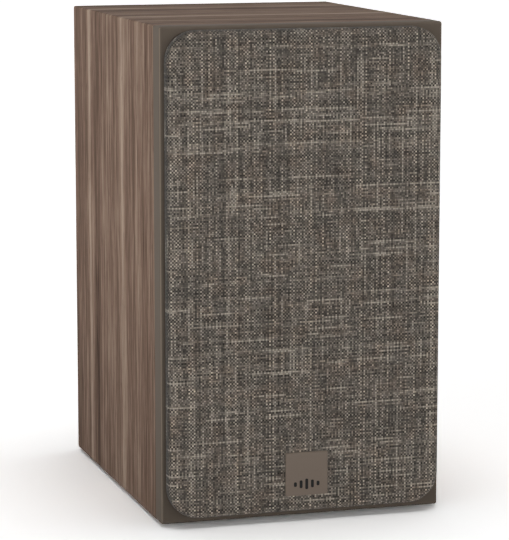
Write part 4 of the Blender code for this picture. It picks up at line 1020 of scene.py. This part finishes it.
FILM = Grained("capacitor_film", (0.04, 0.05, 0.10), 0.30, 2.0 * MM)
STEEL = Brushed("plated_steel", (0.56, 0.56, 0.55), 0.30)
GOLD = Brushed("gold_plate", (0.82, 0.58, 0.26), 0.18, stretch=(900.0, 60.0, 900.0))
PULP = FibreCone("cone_fibre", (0.105, 0.034, 0.020), (0.40, 0.20, 0.11))
SILK = Woven("dome_silk", (0.030, 0.030, 0.032), 0.45 * MM, 0.55)
SPIDER = Woven("spider_cloth", (0.48, 0.32, 0.13), 0.7 * MM, 0.85)
COPPER = Wound("copper_wire", (0.72, 0.30, 0.15), 0.7 * MM)


# ---------------------------------------------------------------- the object
@dataclass
class Cabinet:
    """The wrapped sleeve, the painted baffle, the back and what stands or hangs the speaker."""

    seam_inset: float = 0.06 * MM
    seam_gap: float = 0.02 * MM
    bead: float = 3.0 * MM
    foot_edge: float = 0.35 * MM
    cup_wall: float = 1.2 * MM
    cup_lip: float = 0.4 * MM

    def seam(self) -> None:
        """The bead of glue that shows as a fine line where the sleeve meets the baffle."""
        baffle = Box("front_baffle")
        width, _, height = baffle.size - 2 * self.seam_inset
        start, stop = baffle.high[1] + self.seam_gap, Box("cabinet_sleeve").low[1] - self.seam_gap
        rings = []
        for narrower, depth in ((0, start), (0, stop), (self.bead, stop), (self.bead, start), (0, start)):
            outline = rounded_outline(width - narrower, height - narrower, 1.0 * MM, 3)
            rings.append(upright(outline, depth, (0.0, baffle.middle[2])))
        points = np.stack(rings)
        piece("baffle_glue_line", points, quads(*points.shape[:2]), TAUPE)

    def feet(self) -> None:
        """Turned rubber feet with a rounded lower edge."""
        for place in ("front_left", "front_right", "rear_left", "rear_right"):
            box = Box(f"rubber_foot_{place}")
            radius, _, height = box.size * (0.5, 1.0, 1.0)
            path = soften([(0, 0, 0), (radius, 0, self.foot_edge), (radius, height, 0), (0, height, 0)])
            points = turned(path, (0, 0, 0), 48)[..., [0, 2, 1]] + np.array([*box.middle[:2], box.low[2]])
            piece(f"pad_foot_{place}", points, quads(len(path), 48), RUBBER, f"rubber_foot_{place}")

    def sockets(self) -> None:
        """Rubber cups with a rounded lip for the grille's pegs."""
        for place in ("lower_left", "lower_right", "upper_left", "upper_right"):
            box = Box(f"grille_socket_{place}")
            outer, length = box.size[2] / 2, box.size[1]
            bore, bottom = outer - self.cup_wall, length - self.cup_wall
            lip = [(bore, 0, self.cup_lip), (outer, 0, self.cup_lip)]
            path = soften([(0, bottom, 0), (bore, bottom, 0), *lip, (outer, length, 0), (0, length, 0)])
            node = f"grille_socket_{place}"
            lathe(f"peg_cup_{place}", path, box.axis(box.low[1]), RUBBER, node, segments=48, ring=False)

    def build(self) -> None:
        """Dresses the boards and makes the small pieces on them."""
        wear(WALNUT, "cabinet_sleeve", "back_panel")
        wear(TAUPE, "front_baffle")
        wear(STEEL, "wall_hanger_plate")
        wear(WADDING, "damping_pad_left", "damping_pad_right")
        self.seam()
        self.feet()
        self.sockets()


@dataclass
class Grille:
    """The frame with its pegs, the stretched cloth, and the badge low down on it."""

    edge: float = 3.0 * MM
    corner: float = 17.0 * MM
    thick: float = 0.55 * MM
    badge_edge: float = 0.35 * MM
    bars: tuple[float, ...] = (2.6 * MM, 4.4 * MM, 6.0 * MM, 4.4 * MM, 2.6 * MM)
    bar_width: float = 1.7 * MM
    bar_step: float = 3.3 * MM
    bar_base: float = 3.4 * MM

    def cloth(self) -> None:
        """The cloth over the frame.

        The flat front is the outline shrunk towards the middle. Past the flat the cloth follows a quarter
        circle of the edge's radius, and then runs straight back to the rim. Its place on the weave is the
        same outline grown by the length gone along the cloth.
        """
        box = Box("grille_cloth")
        width, depth, height = box.size
        edge, side = self.edge, depth - self.edge
        flat = rounded_outline(width - 2 * edge, height - 2 * edge, self.corner - edge, 16, 24)
        normal = self.outward(flat, width, height)
        turns = np.linspace(0.0, np.pi / 2, 9)[1:]
        steps = [(share, 0.0, 0.0, 0.0) for share in (0.02, 0.25, 0.5, 0.75, 0.9, 0.97, 1.0)]
        steps += [(1.0, edge * np.sin(turn), edge * (1 - np.cos(turn)), edge * turn) for turn in turns]
        steps += [(1.0, edge, edge + side * share, edge * np.pi / 2 + side * share) for share in (0.5, 1.0)]
        rings = [upright(flat * share + normal * out, back) for share, out, back, _ in steps]
        maps = [flat * share + normal * gone for share, _, _, gone in steps]
        faces = quads(len(rings), len(flat)).tolist() + [list(range(len(flat)))]
        points = np.stack(rings) + box.axis(box.low[1])
        made = piece("grille_linen", points, faces, LINEN, "grille_cloth", "grille", closed=False, sharp=80.0)
        self.lay_map(made.data, np.concatenate(maps))
        self.face_forwards(made.data)
        thicken(made, self.thick, -1.0)
        reach = 2 * (edge * (np.pi / 2 - 1) + side)
        cut = (float(width + reach), float(height + reach))
        area = cut[0] * cut[1] - (4 - np.pi) * (self.corner + reach / 2) ** 2

    def outward(self, flat: np.ndarray, width: float, height: float) -> np.ndarray:
        """The outline's outward way at each point: from its corner's centre, or square to its side.

        Args:
            flat: the outline's points.
            width: the cloth's width over all.
            height: its height over all.

        Returns:
            A way of length 1 for each point.
        """
        reach = np.array([width / 2 - self.corner, height / 2 - self.corner])
        away = flat - np.clip(flat, -reach, reach)
        return away / np.linalg.norm(away, axis=1, keepdims=True)

    def lay_map(self, mesh: bpy.types.Mesh, places: np.ndarray) -> None:
        """Gives each corner of each face its place on the flat cloth, in metres.

        Args:
            mesh: the cloth.
            places: a place for each point of the mesh.
        """
        layer = mesh.uv_layers.new(name="cloth")
        corners = np.empty(len(mesh.loops), np.int32)
        mesh.loops.foreach_get("vertex_index", corners)
        layer.data.foreach_set("uv", places[corners].astype(np.float32).ravel())

    def face_forwards(self, mesh: bpy.types.Mesh) -> None:
        """Turns all the faces the same way, with the front to -Y.

        The face in the middle of the front is the only one with many corners.

        Args:
            mesh: the cloth.
        """
        work = bmesh.new()
        work.from_mesh(mesh)
        bmesh.ops.recalc_face_normals(work, faces=work.faces)
        if next(face for face in work.faces if len(face.verts) > 4).normal.y > 0:
            bmesh.ops.reverse_faces(work, faces=work.faces)
        work.to_mesh(mesh)
        work.free()

    def badge(self) -> None:
        """The square plate with a row of five upright bars, like a level meter, in its lower part."""
        box = Box("badge_plate")
        face, corner = box.low[1] + 0.06 * MM, 0.7 * MM
        depths = (face, box.high[1])
        size = box.size[[0, 2]]
        slab("badge", size, corner, depths, self.badge_edge, box.face, BADGE, "badge_plate", "grille")
        z = box.low[2] + self.bar_base + max(self.bars) / 2
        depths = (box.low[1] + 0.01 * MM, face + 0.2 * MM)
        for number, tall in enumerate(self.bars):
            centre = (box.face[0] + (number - (len(self.bars) - 1) / 2) * self.bar_step, z)
            name, size = f"badge_bar_{number + 1}", (self.bar_width, tall)
            slab(name, size, corner, depths, 0.04 * MM, centre, INK, body="grille")

    def build(self) -> None:
        """Makes the cloth and the badge, and dresses the frame."""
        wear(FRAME_PLASTIC, "grille_frame")
        self.cloth()
        self.badge()


@dataclass
class Screw:
    """A pan-head screw with a cross recess."""

    radius: float
    height: float
    slot: float = 0.55 * MM
    recess: float = 0.62

    def make(self, name: str, crown: Sequence[float], way: float, under: np.ndarray, node: str = "") -> None:
        """Makes a screw.

        The head falls from its crown as the fourth power of the radius, by 0.55 of its height at the rim.
        Where the point is within a slot's half width of either axis, and inside 0.62 of the radius, it
        drops further, by the recess's share of the height.

        Args:
            name: the piece's name.
            crown: the place of the crown's middle.
            way: 1 if the screw goes in along +Y, and -1 if it goes in along -Y.
            under: the profile from the head's rim on, as radius and distance from the crown.
            node: the frame's node that it stands for, if it stands for one.
        """
        share = np.linspace(0.0, 1.0, 19)[:, None]
        angle = np.linspace(0.0, 2 * np.pi, 48, endpoint=False)[None, :]
        x, z = self.radius * share * np.cos(angle), self.radius * share * np.sin(angle)
        cross = (np.minimum(np.abs(x), np.abs(z)) < self.slot / 2) & (share < 0.62)
        fall = self.height * (0.55 * share**4 + np.where(cross, self.recess, 0.0))
        points = np.concatenate([np.stack([x, fall, z], axis=-1), turned(under, (0, 0, 0), 48)])
        points = points * (1.0, way, 1.0) + np.array(crown)
        piece(name, points, quads(len(points), 48), BLACK_STEEL, node, sharp=30.0)

    def fasten(self, name: str, node: str) -> None:
        """Makes the screw over its node, with its head to the front and a pointed shank.

        Args:
            name: the piece's name.
            node: the frame's node that it stands for.
        """
        box = Box(node)
        shank, length = self.radius * 0.55, box.size[1]
        neck = [(self.radius, self.height), (shank, self.height)]
        under = np.array([*neck, (shank, length - shank), (0.0, length)])
        self.make(name, box.axis(box.low[1]), 1.0, under, node)


@dataclass
class Driver:
    """What the two drivers share: rings turned about one axis, some of which flex with the diaphragm."""

    core: str = ""
    moving: str = ""

    def centre(self) -> np.ndarray:
        """The driver's axis at the baffle's face."""
        return Box(self.core).axis(BAFFLE_Y)

    def ride(self, name: str, profile: np.ndarray, finish: Finish, node: str, cap: bool = True) -> None:
        """Makes a turned piece on the diaphragm.

        Args:
            name: the piece's name.
            profile: radius and depth of each point.
            finish: what it wears.
            node: the frame's node that it stands for.
            cap: whether both ends are on the axis, and else it is a ring in finer steps.
        """
        segments = 96 if cap else 128
        lathe(name, profile, self.centre(), finish, node, self.moving, segments, ring=not cap)

    def flex(self, made: bpy.types.Object, outer: float, inner: float) -> None:
        """Lets a ring flex: its outer edge stays, its inner edge moves, and between them it eases by radius.

        Args:
            made: the ring, which rides the cabinet until now.
            outer: the radius where it starts to move.
            inner: the radius where it moves in full.
        """
        world = made.matrix_world.copy()
        made.parent = None
        made.matrix_world = world
        centre = Vector(self.centre())
        end = centre + Vector((0.0, 0.01, 0.0))
        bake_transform(made, "cabinet", self.moving, start=tuple(centre), end=tuple(end))
        mesh = made.data
        flat = np.empty(len(mesh.vertices) * 3, np.float32)
        mesh.vertices.foreach_get("co", flat)
        away = flat.reshape(-1, 3) - np.array(centre, np.float32)
        share = np.clip((outer - np.hypot(away[:, 0], away[:, 2])) / (outer - inner), 0.0, 1.0)
        weight = (share * share * (3.0 - 2.0 * share)).astype(np.float32)
        mesh.attributes["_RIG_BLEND"].data.foreach_set("value", weight)


@dataclass
class Woofer(Driver):
    """The mid-woofer: basket, surround, cone, cap, spider, coil and motor."""

    core: str = "woofer_cone"
    moving: str = "woofer_diaphragm"
    flange: float = 67.0 * MM
    lip: float = 60.0 * MM
    roll: float = 4.5 * MM
    roll_centre: float = 50.75 * MM
    skin: float = 0.6 * MM
    neck: float = 13.3 * MM
    flare: float = 43.5 * MM
    rim: float = 45.95 * MM
    cone_front: float = 1.0 * MM
    cone_depth: float = 22.7 * MM
    cone_wall: float = 0.8 * MM
    bend: float = 1.3
    cap: float = 18.0 * MM
    cap_height: float = 6.5 * MM
    cap_wall: float = 0.5 * MM
    spider_depth: float = 31.0 * MM
    spider_inner: float = 13.2 * MM
    spider_outer: float = 37.0 * MM
    waves: tuple[float, float] = (15.7 * MM, 30.0 * MM)
    wave_height: float = 1.1 * MM
    surround_flex: tuple[float, float] = (55.0 * MM, 46.4 * MM)
    spider_flex: tuple[float, float] = (31.0 * MM, 15.0 * MM)
    window_span: tuple[float, float] = (10.0 * MM, 27.5 * MM)
    window_half_angle: float = 20.0
    windows: int = 6
    sheet: float = 0.5 * MM

    def depth_at(self, radius: np.ndarray | float) -> np.ndarray:
        """The cone's depth: its full depth times the share of the way in from the rim, to the power bend."""
        share = np.clip((self.flare - radius) / (self.flare - self.neck), 0.0, 1.0)
        return self.cone_front + self.cone_depth * share**self.bend

    def cone(self) -> None:
        """The pulp cone, and the cap that is glued on its front."""
        radius = np.append(np.linspace(self.neck, self.flare, 40), self.rim)
        front = np.stack([radius, self.depth_at(radius)], axis=-1)
        back = front[::-1] + np.array([0.0, self.cone_wall])
        self.ride("cone", np.concatenate([front, back]), PULP, "woofer_cone", cap=False)
        rim = float(self.depth_at(self.cap)) - 0.9 * MM
        dome = ball_cap(self.cap, self.cap_height, rim, 20)
        under = dome[::-1] + np.array([0.0, self.cap_wall])
        self.ride("dust_cap", np.concatenate([dome, under]), PULP, "woofer_dust_cap")

    def surround(self) -> None:
        """The half roll: a flat lip, half a circle standing forwards, and a flat lip on the cone."""
        face, inner = 0.1 * MM, self.flare + 0.3 * MM
        middle, half = face + self.skin / 2, self.skin / 2
        crest, under = (arch(self.roll_centre, middle, self.roll + way * half, 28) for way in (1, -1))
        front = np.concatenate([[(self.lip, face)], crest[1:-1], [(inner, face)]])
        back = np.concatenate([[(inner, face + self.skin)], under[-2:0:-1], [(self.lip, face + self.skin)]])
        path = np.concatenate([front, back])
        made = lathe("surround", path, self.centre(), RUBBER, "woofer_surround", segments=128)
        self.flex(made, *self.surround_flex)

    def spider(self) -> None:
        """The corrugated disc: a flat inner rim, three sine waves and a flat outer rim."""
        radius = np.linspace(*self.waves, 60)
        height = self.wave_height * np.sin(6 * np.pi * np.linspace(0.0, 1.0, 60))
        ends = [(self.spider_inner, self.spider_depth), (self.spider_outer, self.spider_depth)]
        waves = np.stack([radius, self.spider_depth - height], axis=-1)
        middle = np.concatenate([ends[:1], waves, ends[1:]])
        half = np.array([0.0, 0.2 * MM])
        path = np.concatenate([middle - half, middle[::-1] + half])
        made = lathe("spider", path, self.centre(), SPIDER, "woofer_spider", segments=72)
        self.flex(made, *self.spider_flex)

    def basket(self) -> None:
        """The pressed basket: one sheet from the flange down to the motor, cut by windows.

        The path is read again in even steps, and a face is left out where it lies within a window.
        """
        face, inner, outer = 0.35 * MM, self.lip + 0.35 * MM, self.flange - 0.1 * MM
        rim = [(inner, 1.2 * MM, 0), (inner, face, 0.3 * MM), (outer, face, 0.3 * MM)]
        arms = [(outer, 2.3 * MM, 0.2 * MM), *in_mm((57.4, 2.3, 0.4), (57.2, 7.0, 2.0), (38.8, 29.0, 2.0))]
        seat = in_mm((38.6, 33.0, 0.8), (32.3, 33.0, 0.8), (32.3, 48.3, 1.0), (17.0, 48.3, 0))
        path = soften(rim + arms + seat)
        length = np.append(0.0, np.cumsum(np.hypot(*np.diff(path, axis=0).T)))
        even = np.interp(np.linspace(0.0, length[-1], 150), length, np.arange(len(length)))
        path = np.stack([np.interp(even, np.arange(len(path)), path[:, k]) for k in (0, 1)], axis=-1)
        segments = 144
        faces = quads(len(path), segments)
        row, column = faces[:, 0] // segments, faces[:, 0] % segments
        depth = path[row, 1]
        turn, pitch = (column + 0.5) * 360.0 / segments, 360.0 / self.windows
        off = np.abs((turn - 90.0 + pitch / 2) % pitch - pitch / 2)
        front, rear = self.window_span
        window = (off < self.window_half_angle) & (depth > front) & (depth < rear)
        points = turned(path, self.centre(), segments)
        made = piece("basket", points, faces[~window], BLACK_STEEL, "woofer_basket", sharp=50.0)
        thicken(made, self.sheet, 0.0)

    def build(self) -> None:
        """Makes what shows when the grille is off, and dresses the rest."""
        self.cone()
        self.surround()
        self.spider()
        self.basket()
        for number in range(1, 5):
            Screw(2.9 * MM, 1.5 * MM).fasten(f"large_screw_{number}", f"woofer_screw_{number}")
        wear(FOAM, "woofer_gasket")
        wear(STEEL, "woofer_top_plate", "woofer_yoke")
        wear(FERRITE, "woofer_magnet")
        wear(COPPER, "woofer_voice_coil")
        wear(PLASTIC, "woofer_tag_strip")


@dataclass
class Tweeter(Driver):
    """The tweeter: a plate with a shallow horn, a soft dome and its motor."""

    core: str = "tweeter_dome"
    moving: str = "tweeter_diaphragm"
    plate: float = 43.0 * MM
    proud: float = 1.2 * MM
    back: float = 2.7 * MM
    mouth: float = 33.0 * MM
    throat: float = 19.0 * MM
    dome_rim: float = 13.0 * MM
    dome_height: float = 5.2 * MM
    dome_flat: float = 14.2 * MM
    dome_depth: float = 3.0 * MM
    dome_wall: float = 0.3 * MM
    roll: float = 1.8 * MM
    roll_centre: float = 16.6 * MM
    roll_rim: float = 24.0 * MM
    skin: float = 0.4 * MM
    flex_span: tuple[float, float] = (18.4 * MM, 14.8 * MM)
    horn_floor: float = 0.8 * MM

    def faceplate(self) -> None:
        """The plate: flat outside, then a horn whose depth grows with the way in to the power 1.6."""
        share = np.linspace(0.0, 1.0, 30)
        rise = self.back - self.horn_floor + self.proud
        radius = self.mouth + (self.throat - self.mouth) * share
        horn = np.stack([radius, -self.proud + rise * share**1.6], axis=-1)
        behind = [(self.throat, self.back, 0), (self.plate, self.back, 0)]
        front = [(self.plate, -self.proud, 0.8 * MM), (self.mouth + 1.0 * MM, -self.proud, 0)]
        path = np.concatenate([soften(behind + front), horn])
        lathe("horn_plate", path, self.centre(), PLASTIC, "tweeter_faceplate", segments=128)

    def dome(self) -> None:
        """The cap of a ball with a flat rim."""
        cap = ball_cap(self.dome_rim, self.dome_height, self.dome_depth, 24)
        front = np.concatenate([cap, [(self.dome_flat, self.dome_depth)]])
        back = front[::-1] + np.array([0.0, self.dome_wall])
        self.ride("dome", np.concatenate([front, back]), SILK, "tweeter_dome")

    def surround(self) -> None:
        """The small half roll round the dome, with a flat lip outside it."""
        face, half = self.dome_depth, self.skin / 2
        behind = face + self.skin
        crest, under = (arch(self.roll_centre, face + half, self.roll + way * half, 20) for way in (1, -1))
        front = [(self.roll_rim, face), (crest[0, 0], face), *crest[1:-1], (crest[-1, 0], behind)]
        back = [(under[-1, 0], behind), *under[-2:0:-1], (under[0, 0], behind), (self.roll_rim, behind)]
        made = lathe("dome_roll", np.array(front + back), self.centre(), SILK, "tweeter_surround")
        self.flex(made, *self.flex_span)

    def build(self) -> None:
        """Makes what shows when the grille is off, and dresses the rest."""
        self.faceplate()
        self.dome()
        self.surround()
        for number in range(1, 5):
            Screw(2.2 * MM, 1.4 * MM, 0.45 * MM).fasten(f"small_screw_{number}", f"tweeter_screw_{number}")
        wear(STEEL, "tweeter_top_plate", "tweeter_yoke")
        wear(FERRITE, "tweeter_magnet")
        wear(COPPER, "tweeter_voice_coil")


class Pole(Enum):
    """The two terminals, by colour."""

    RED = "red"
    BLACK = "black"

    def finish(self) -> Finish:
        """The knob's moulding."""
        return GLOSS_RED if self is Pole.RED else GLOSS_BLACK


@dataclass
class Back:
    """The reflex port and the terminals."""

    ribs: int = 18
    rib_depth: float = 0.5 * MM
    bore: float = 3.4 * MM
    port_bore: float = 20.0 * MM
    port_outer: float = 22.3 * MM
    port_flare: float = 12.0 * MM
    port_hub: float = 33.15 * MM
    port_step: tuple[float, float] = (-16.0 * MM, -10.0 * MM)
    post_step: float = 9.5 * MM
    screw_inset: float = 6.5 * MM

    def port(self) -> None:
        """The tube: a flat rim, a quarter-round flare and a straight bore."""
        box = Box("port_tube")
        rim, mouth, end = box.size[0] / 2, box.high[1] - BACK_Y, box.low[1] - BACK_Y
        bore, outer, flare, hub = self.port_bore, self.port_outer, self.port_flare, self.port_hub
        turn = np.linspace(np.pi / 2, 0.0, 20)
        curve = np.stack([bore + flare * (1 - np.cos(turn)), mouth - flare * (1 - np.sin(turn))], axis=-1)
        low, top = self.port_step
        tube = [(bore, end + 3 * MM, 0), (bore, end, 0.9 * MM), (outer, end, 0.9 * MM), (outer, low, 0)]
        step = [(outer, low, 0), (hub, top, 2 * MM), (hub, 0.3 * MM, 0), (rim, 0.3 * MM, 0.2 * MM)]
        flange = [(rim, mouth, 0.8 * MM), (bore + flare + 0.6 * MM, mouth, 0)]
        path = np.concatenate([curve, soften(tube), soften(step + flange)])
        lathe("port", path, box.axis(BACK_Y), PLASTIC, "port_tube", segments=128)

    def terminal_plate(self) -> None:
        """The moulded plate, a ring round each post, a plus and a minus, and four screws."""
        box = Box("terminal_plate")
        size, centre, face = box.size[[0, 2]], box.face, box.high[1]
        depths = (face, BACK_Y + 0.3 * MM)
        slab("terminal_moulding", size, 6 * MM, depths, 1.0 * MM, centre, PLASTIC, "terminal_plate")
        ring = soften(in_mm((6.4, -0.1, 0), (6.4, 0.22, 0.1), (7.6, 0.22, 0.1), (7.6, -0.1, 0)), closed=True)
        for side, pole in ((1, Pole.RED), (-1, Pole.BLACK)):
            x, colour = centre[0] + side * self.post_step, pole.value
            lathe(f"polarity_ring_{colour}", ring, (x, face, centre[1]), pole.finish(), segments=72)
            bars = {f"sign_bar_{colour}": ((5.0 * MM, 1.0 * MM), 0.25 * MM)}
            if pole is Pole.RED:
                bars["sign_upright_red"] = ((1.0 * MM, 5.0 * MM), 0.27 * MM)
            for name, (bar, proud) in bars.items():
                depths, spot = (face + proud, face - 0.1 * MM), (x, centre[1] + 13 * MM)
                slab(name, bar, 0.4 * MM, depths, 0.1 * MM, spot, pole.finish())
        screw = Screw(3.0 * MM, 1.4 * MM, 0.56 * MM, 0.6)
        base = screw.height + 0.4 * MM
        under = np.array([(screw.radius, base), (0.0, base)])
        for number, corner in enumerate(((-1, -1), (1, -1), (1, 1), (-1, 1)), start=1):
            x, z = centre + np.array(corner) * (size / 2 - self.screw_inset)
            screw.make(f"plate_screw_{number}", (x, face + screw.height, z), -1.0, under)

    def knob(self, pole: Pole) -> None:
        """A knob whose radius dips between ribs: radius times 1 - dip (1 - cos(ribs a))^2 / 4.

        Args:
            pole: the terminal that it is on.
        """
        node = f"binding_knob_{pole.value}"
        box = Box(node)
        bore, outer, length = self.bore, box.size[2] / 2, box.size[1]
        neck = outer - 0.7 * MM
        corners = [
            (bore, 0, 0.2 * MM),
            (outer - 1.2 * MM, 0, 0.6 * MM),
            (outer, 1.4 * MM, 0.5 * MM),
            (outer, length - 3.4 * MM, 0.4 * MM),
            (neck, length - 2.9 * MM, 0.3 * MM),
            (neck, length, 0.6 * MM),
            (bore + 0.4 * MM, length, 0.3 * MM),
            (bore, length - 0.6 * MM, 0.2 * MM),
        ]
        path = soften(corners, 4, closed=True)
        segments = self.ribs * 10
        angle = np.linspace(0.0, 2 * np.pi, segments, endpoint=False)
        dip = (1 - np.cos(self.ribs * angle)) ** 2 / 4 * self.rib_depth / outer
        ribbed = (path[:, :1] > outer - 0.3 * MM) & (path[:, 1:] < length - 3.0 * MM)
        name, place = f"knob_{pole.value}", box.axis(box.low[1])
        lathe(name, path, place, pole.finish(), node, name, segments, ribs=1.0 - ribbed * dip)

    def post(self, pole: Pole) -> None:
        """The plated post's collar and threaded stud, with a bored end; the tail is inside.

        Args:
            pole: the terminal that it is in.
        """
        node = f"binding_post_{pole.value}"
        box = Box(node)
        collar = float(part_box("terminal_plate")[1][1]) + 0.3 * MM
        start, end, bore, bottom = box.low[1] - collar, box.high[1] - collar, 2.05 * MM, 10.4 * MM
        tail = [(0, start, 0), (2.3 * MM, start, 0.3 * MM)]
        body = soften(tail + in_mm((2.3, 0, 0), (6.0, 0, 0.3), (6.0, 2.6, 0.5), (2.8, 2.6, 0)))
        turns = np.linspace(2.8 * MM, end - 0.6 * MM, 90)
        thread = np.stack([2.85 * MM + 0.14 * MM * np.cos(2 * np.pi * turns / (0.8 * MM)), turns], axis=-1)
        tip = [(2.9 * MM, end - 0.4 * MM, 0), (2.6 * MM, end, 0.2 * MM), (bore, end, 0.3 * MM)]
        tip += [(bore, end - bottom, 0.2 * MM), (0, end - bottom, 0)]
        path = np.concatenate([body, thread, soften(tip)])
        lathe(f"post_{pole.value}", path, box.axis(collar), GOLD, node, segments=48, ring=False)

    def washer(self, pole: Pole) -> None:
        """The loose plated ring under the knob.

        Args:
            pole: the terminal that it is on.
        """
        body = f"washer_{pole.value}"
        box = Box(f"clamp_{body}")
        bore, outer, thick = self.bore, box.size[2] / 2, box.size[1]
        fine, soft = 0.15 * MM, 0.25 * MM
        corners = [(bore, 0, fine), (outer, 0, soft), (outer, thick, soft), (bore, thick, fine)]
        path, place = soften(corners, closed=True), box.axis(box.low[1])
        lathe(f"{body}_plate", path, place, GOLD, f"clamp_{body}", body, 64)

    def build(self) -> None:
        """Makes the port and the terminals, and dresses the crossover behind them."""
        self.port()
        self.terminal_plate()
        for pole in Pole:
            self.knob(pole)
            self.post(pole)
            self.washer(pole)
        wear(BOARD, "crossover_board")
        wear(COPPER, "crossover_inductor_large", "crossover_inductor_small")
        wear(FILM, "crossover_capacitor")
        wear(CEMENT, "crossover_resistor")
        wear(RUBBER, "woofer_lead", "tweeter_lead")


# ---------------------------------------------------------------- the studio
@dataclass
class Studio:
    """The camera, the floor and the lights."""

    eye: tuple[float, float, float] = (-0.4404, -1.4650, 0.3679)
    turn: float = 16.915
    tilt: float = 9.07
    lens: float = 174.77
    floor_reach: float = 12.0
    floor_grey: float = 0.75
    floor_seen: float = 0.95
    floor_lift: float = 0.66
    band_low: float = 0.08
    band_high: float = 0.26
    horizon: float = 5.7
    zenith: float = 0.05

    def camera(self) -> None:
        """A long lens a little above the speaker, to its front left."""
        data = bpy.data.cameras.new("camera")
        data.lens = self.lens
        data.sensor_width = 36.0
        data.clip_end = 50.0
        made = stand("camera", data)
        turn, tilt = math.radians(self.turn), math.radians(self.tilt)
        ahead = Vector((math.sin(turn) * math.cos(tilt), math.cos(turn) * math.cos(tilt), -math.sin(tilt)))
        made.location = self.eye
        made.rotation_euler = ahead.to_track_quat("-Z", "Y").to_euler()
        bpy.context.scene.camera = made

    def choose(self, graph: Graph, output: str, lit: bpy.types.Node, seen: bpy.types.Node) -> None:
        """Shows one shader to the camera, straight, in a mirror or through glass, and lights with another.

        Args:
            graph: the node tree.
            output: the name of its output node.
            lit: the shader that gives light to everything else.
            seen: the shader that is seen.
        """
        path = graph.node("LightPath", {})
        share = path.outputs["Is Camera Ray"]
        for name in ("Is Glossy Ray", "Is Transmission Ray"):
            share = graph.shade("Math", {0: share, 1: path.outputs[name]}, operation="ADD", use_clamp=True)
        mix = graph.node("MixShader", {0: share, 1: lit.outputs[0], 2: seen.outputs[0]})
        graph.feed(graph.tree.nodes[output].inputs["Surface"], mix.outputs[0])

    def floor(self) -> None:
        """A white floor that keeps the object's shadow."""
        reach = self.floor_reach
        mesh = bpy.data.meshes.new("floor")
        corners = [(-reach, -reach, 0.0), (reach, -reach, 0.0), (reach, reach, 0.0), (-reach, reach, 0.0)]
        mesh.from_pydata(corners, [], [[0, 1, 2, 3]])
        material = bpy.data.materials.new("floor_white")
        graph = Graph(material)
        greys = (self.floor_grey, self.floor_seen, self.floor_lift)
        plain, base, lift = (graph.node("BsdfDiffuse", {"Color": (grey, grey, grey)}) for grey in greys)
        shown = graph.node("AddShader", {0: base.outputs[0], 1: lift.outputs[0]})
        self.choose(graph, "Material Output", plain, shown)
        mesh.materials.append(material)
        stand("floor", mesh)

    def world(self) -> None:
        """Light from all round, strong up to a little above the horizon and dim overhead, and a white that
        the camera sees behind everything.
        """
        world = bpy.data.worlds.new("studio")
        graph = Graph(world)
        light = graph.tree.nodes["Background"]
        height = graph.parts(graph.shade("TexCoord", {}, "Generated"))[2]
        span = {0: height, 1: self.band_low, 2: self.band_high, 3: self.horizon, 4: self.zenith}
        graph.feed(light.inputs["Color"], WHITE)
        graph.feed(light.inputs["Strength"], graph.shade("MapRange", span, interpolation_type="SMOOTHSTEP"))
        white = graph.node("Background", {"Color": WHITE, "Strength": 1.0})
        self.choose(graph, "World Output", light, white)
        bpy.context.scene.world = world

    def lamp(self, name: str, place: tuple[float, float, float], spread: float, strength: float) -> None:
        """A distant light.

        Args:
            name: its name.
            place: where it shines from, towards the middle.
            spread: how wide it is in the sky, in degrees.
            strength: how strong it is.
        """
        data = bpy.data.lights.new(name, "SUN")
        data.angle = math.radians(spread)
        data.energy = strength
        stand(name, data).rotation_euler = Vector(place).to_track_quat("Z", "Y").to_euler()

    def build(self) -> None:
        """Sets up the camera, the floor and the lights."""
        self.camera()
        self.floor()
        self.world()
        self.lamp("overhead", (0.03, 0.01, 1.0), 40.0, 1.3)
        self.lamp("key", (-0.8, -0.7, 0.4), 40.0, 0.3)
        bpy.context.scene.view_settings.view_transform = "Standard"


def main() -> None:
    """Builds the studio and every sub-assembly in order."""
    logging.basicConfig(level=logging.INFO, format="%(name)s: %(message)s")
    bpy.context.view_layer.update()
    Studio().build()
    for assembly in (Cabinet(), Grille(), Woofer(), Tweeter(), Back()):
        LOG.info("building %s", type(assembly).__name__)
        assembly.build()


if __name__ == "__main__":
    main()
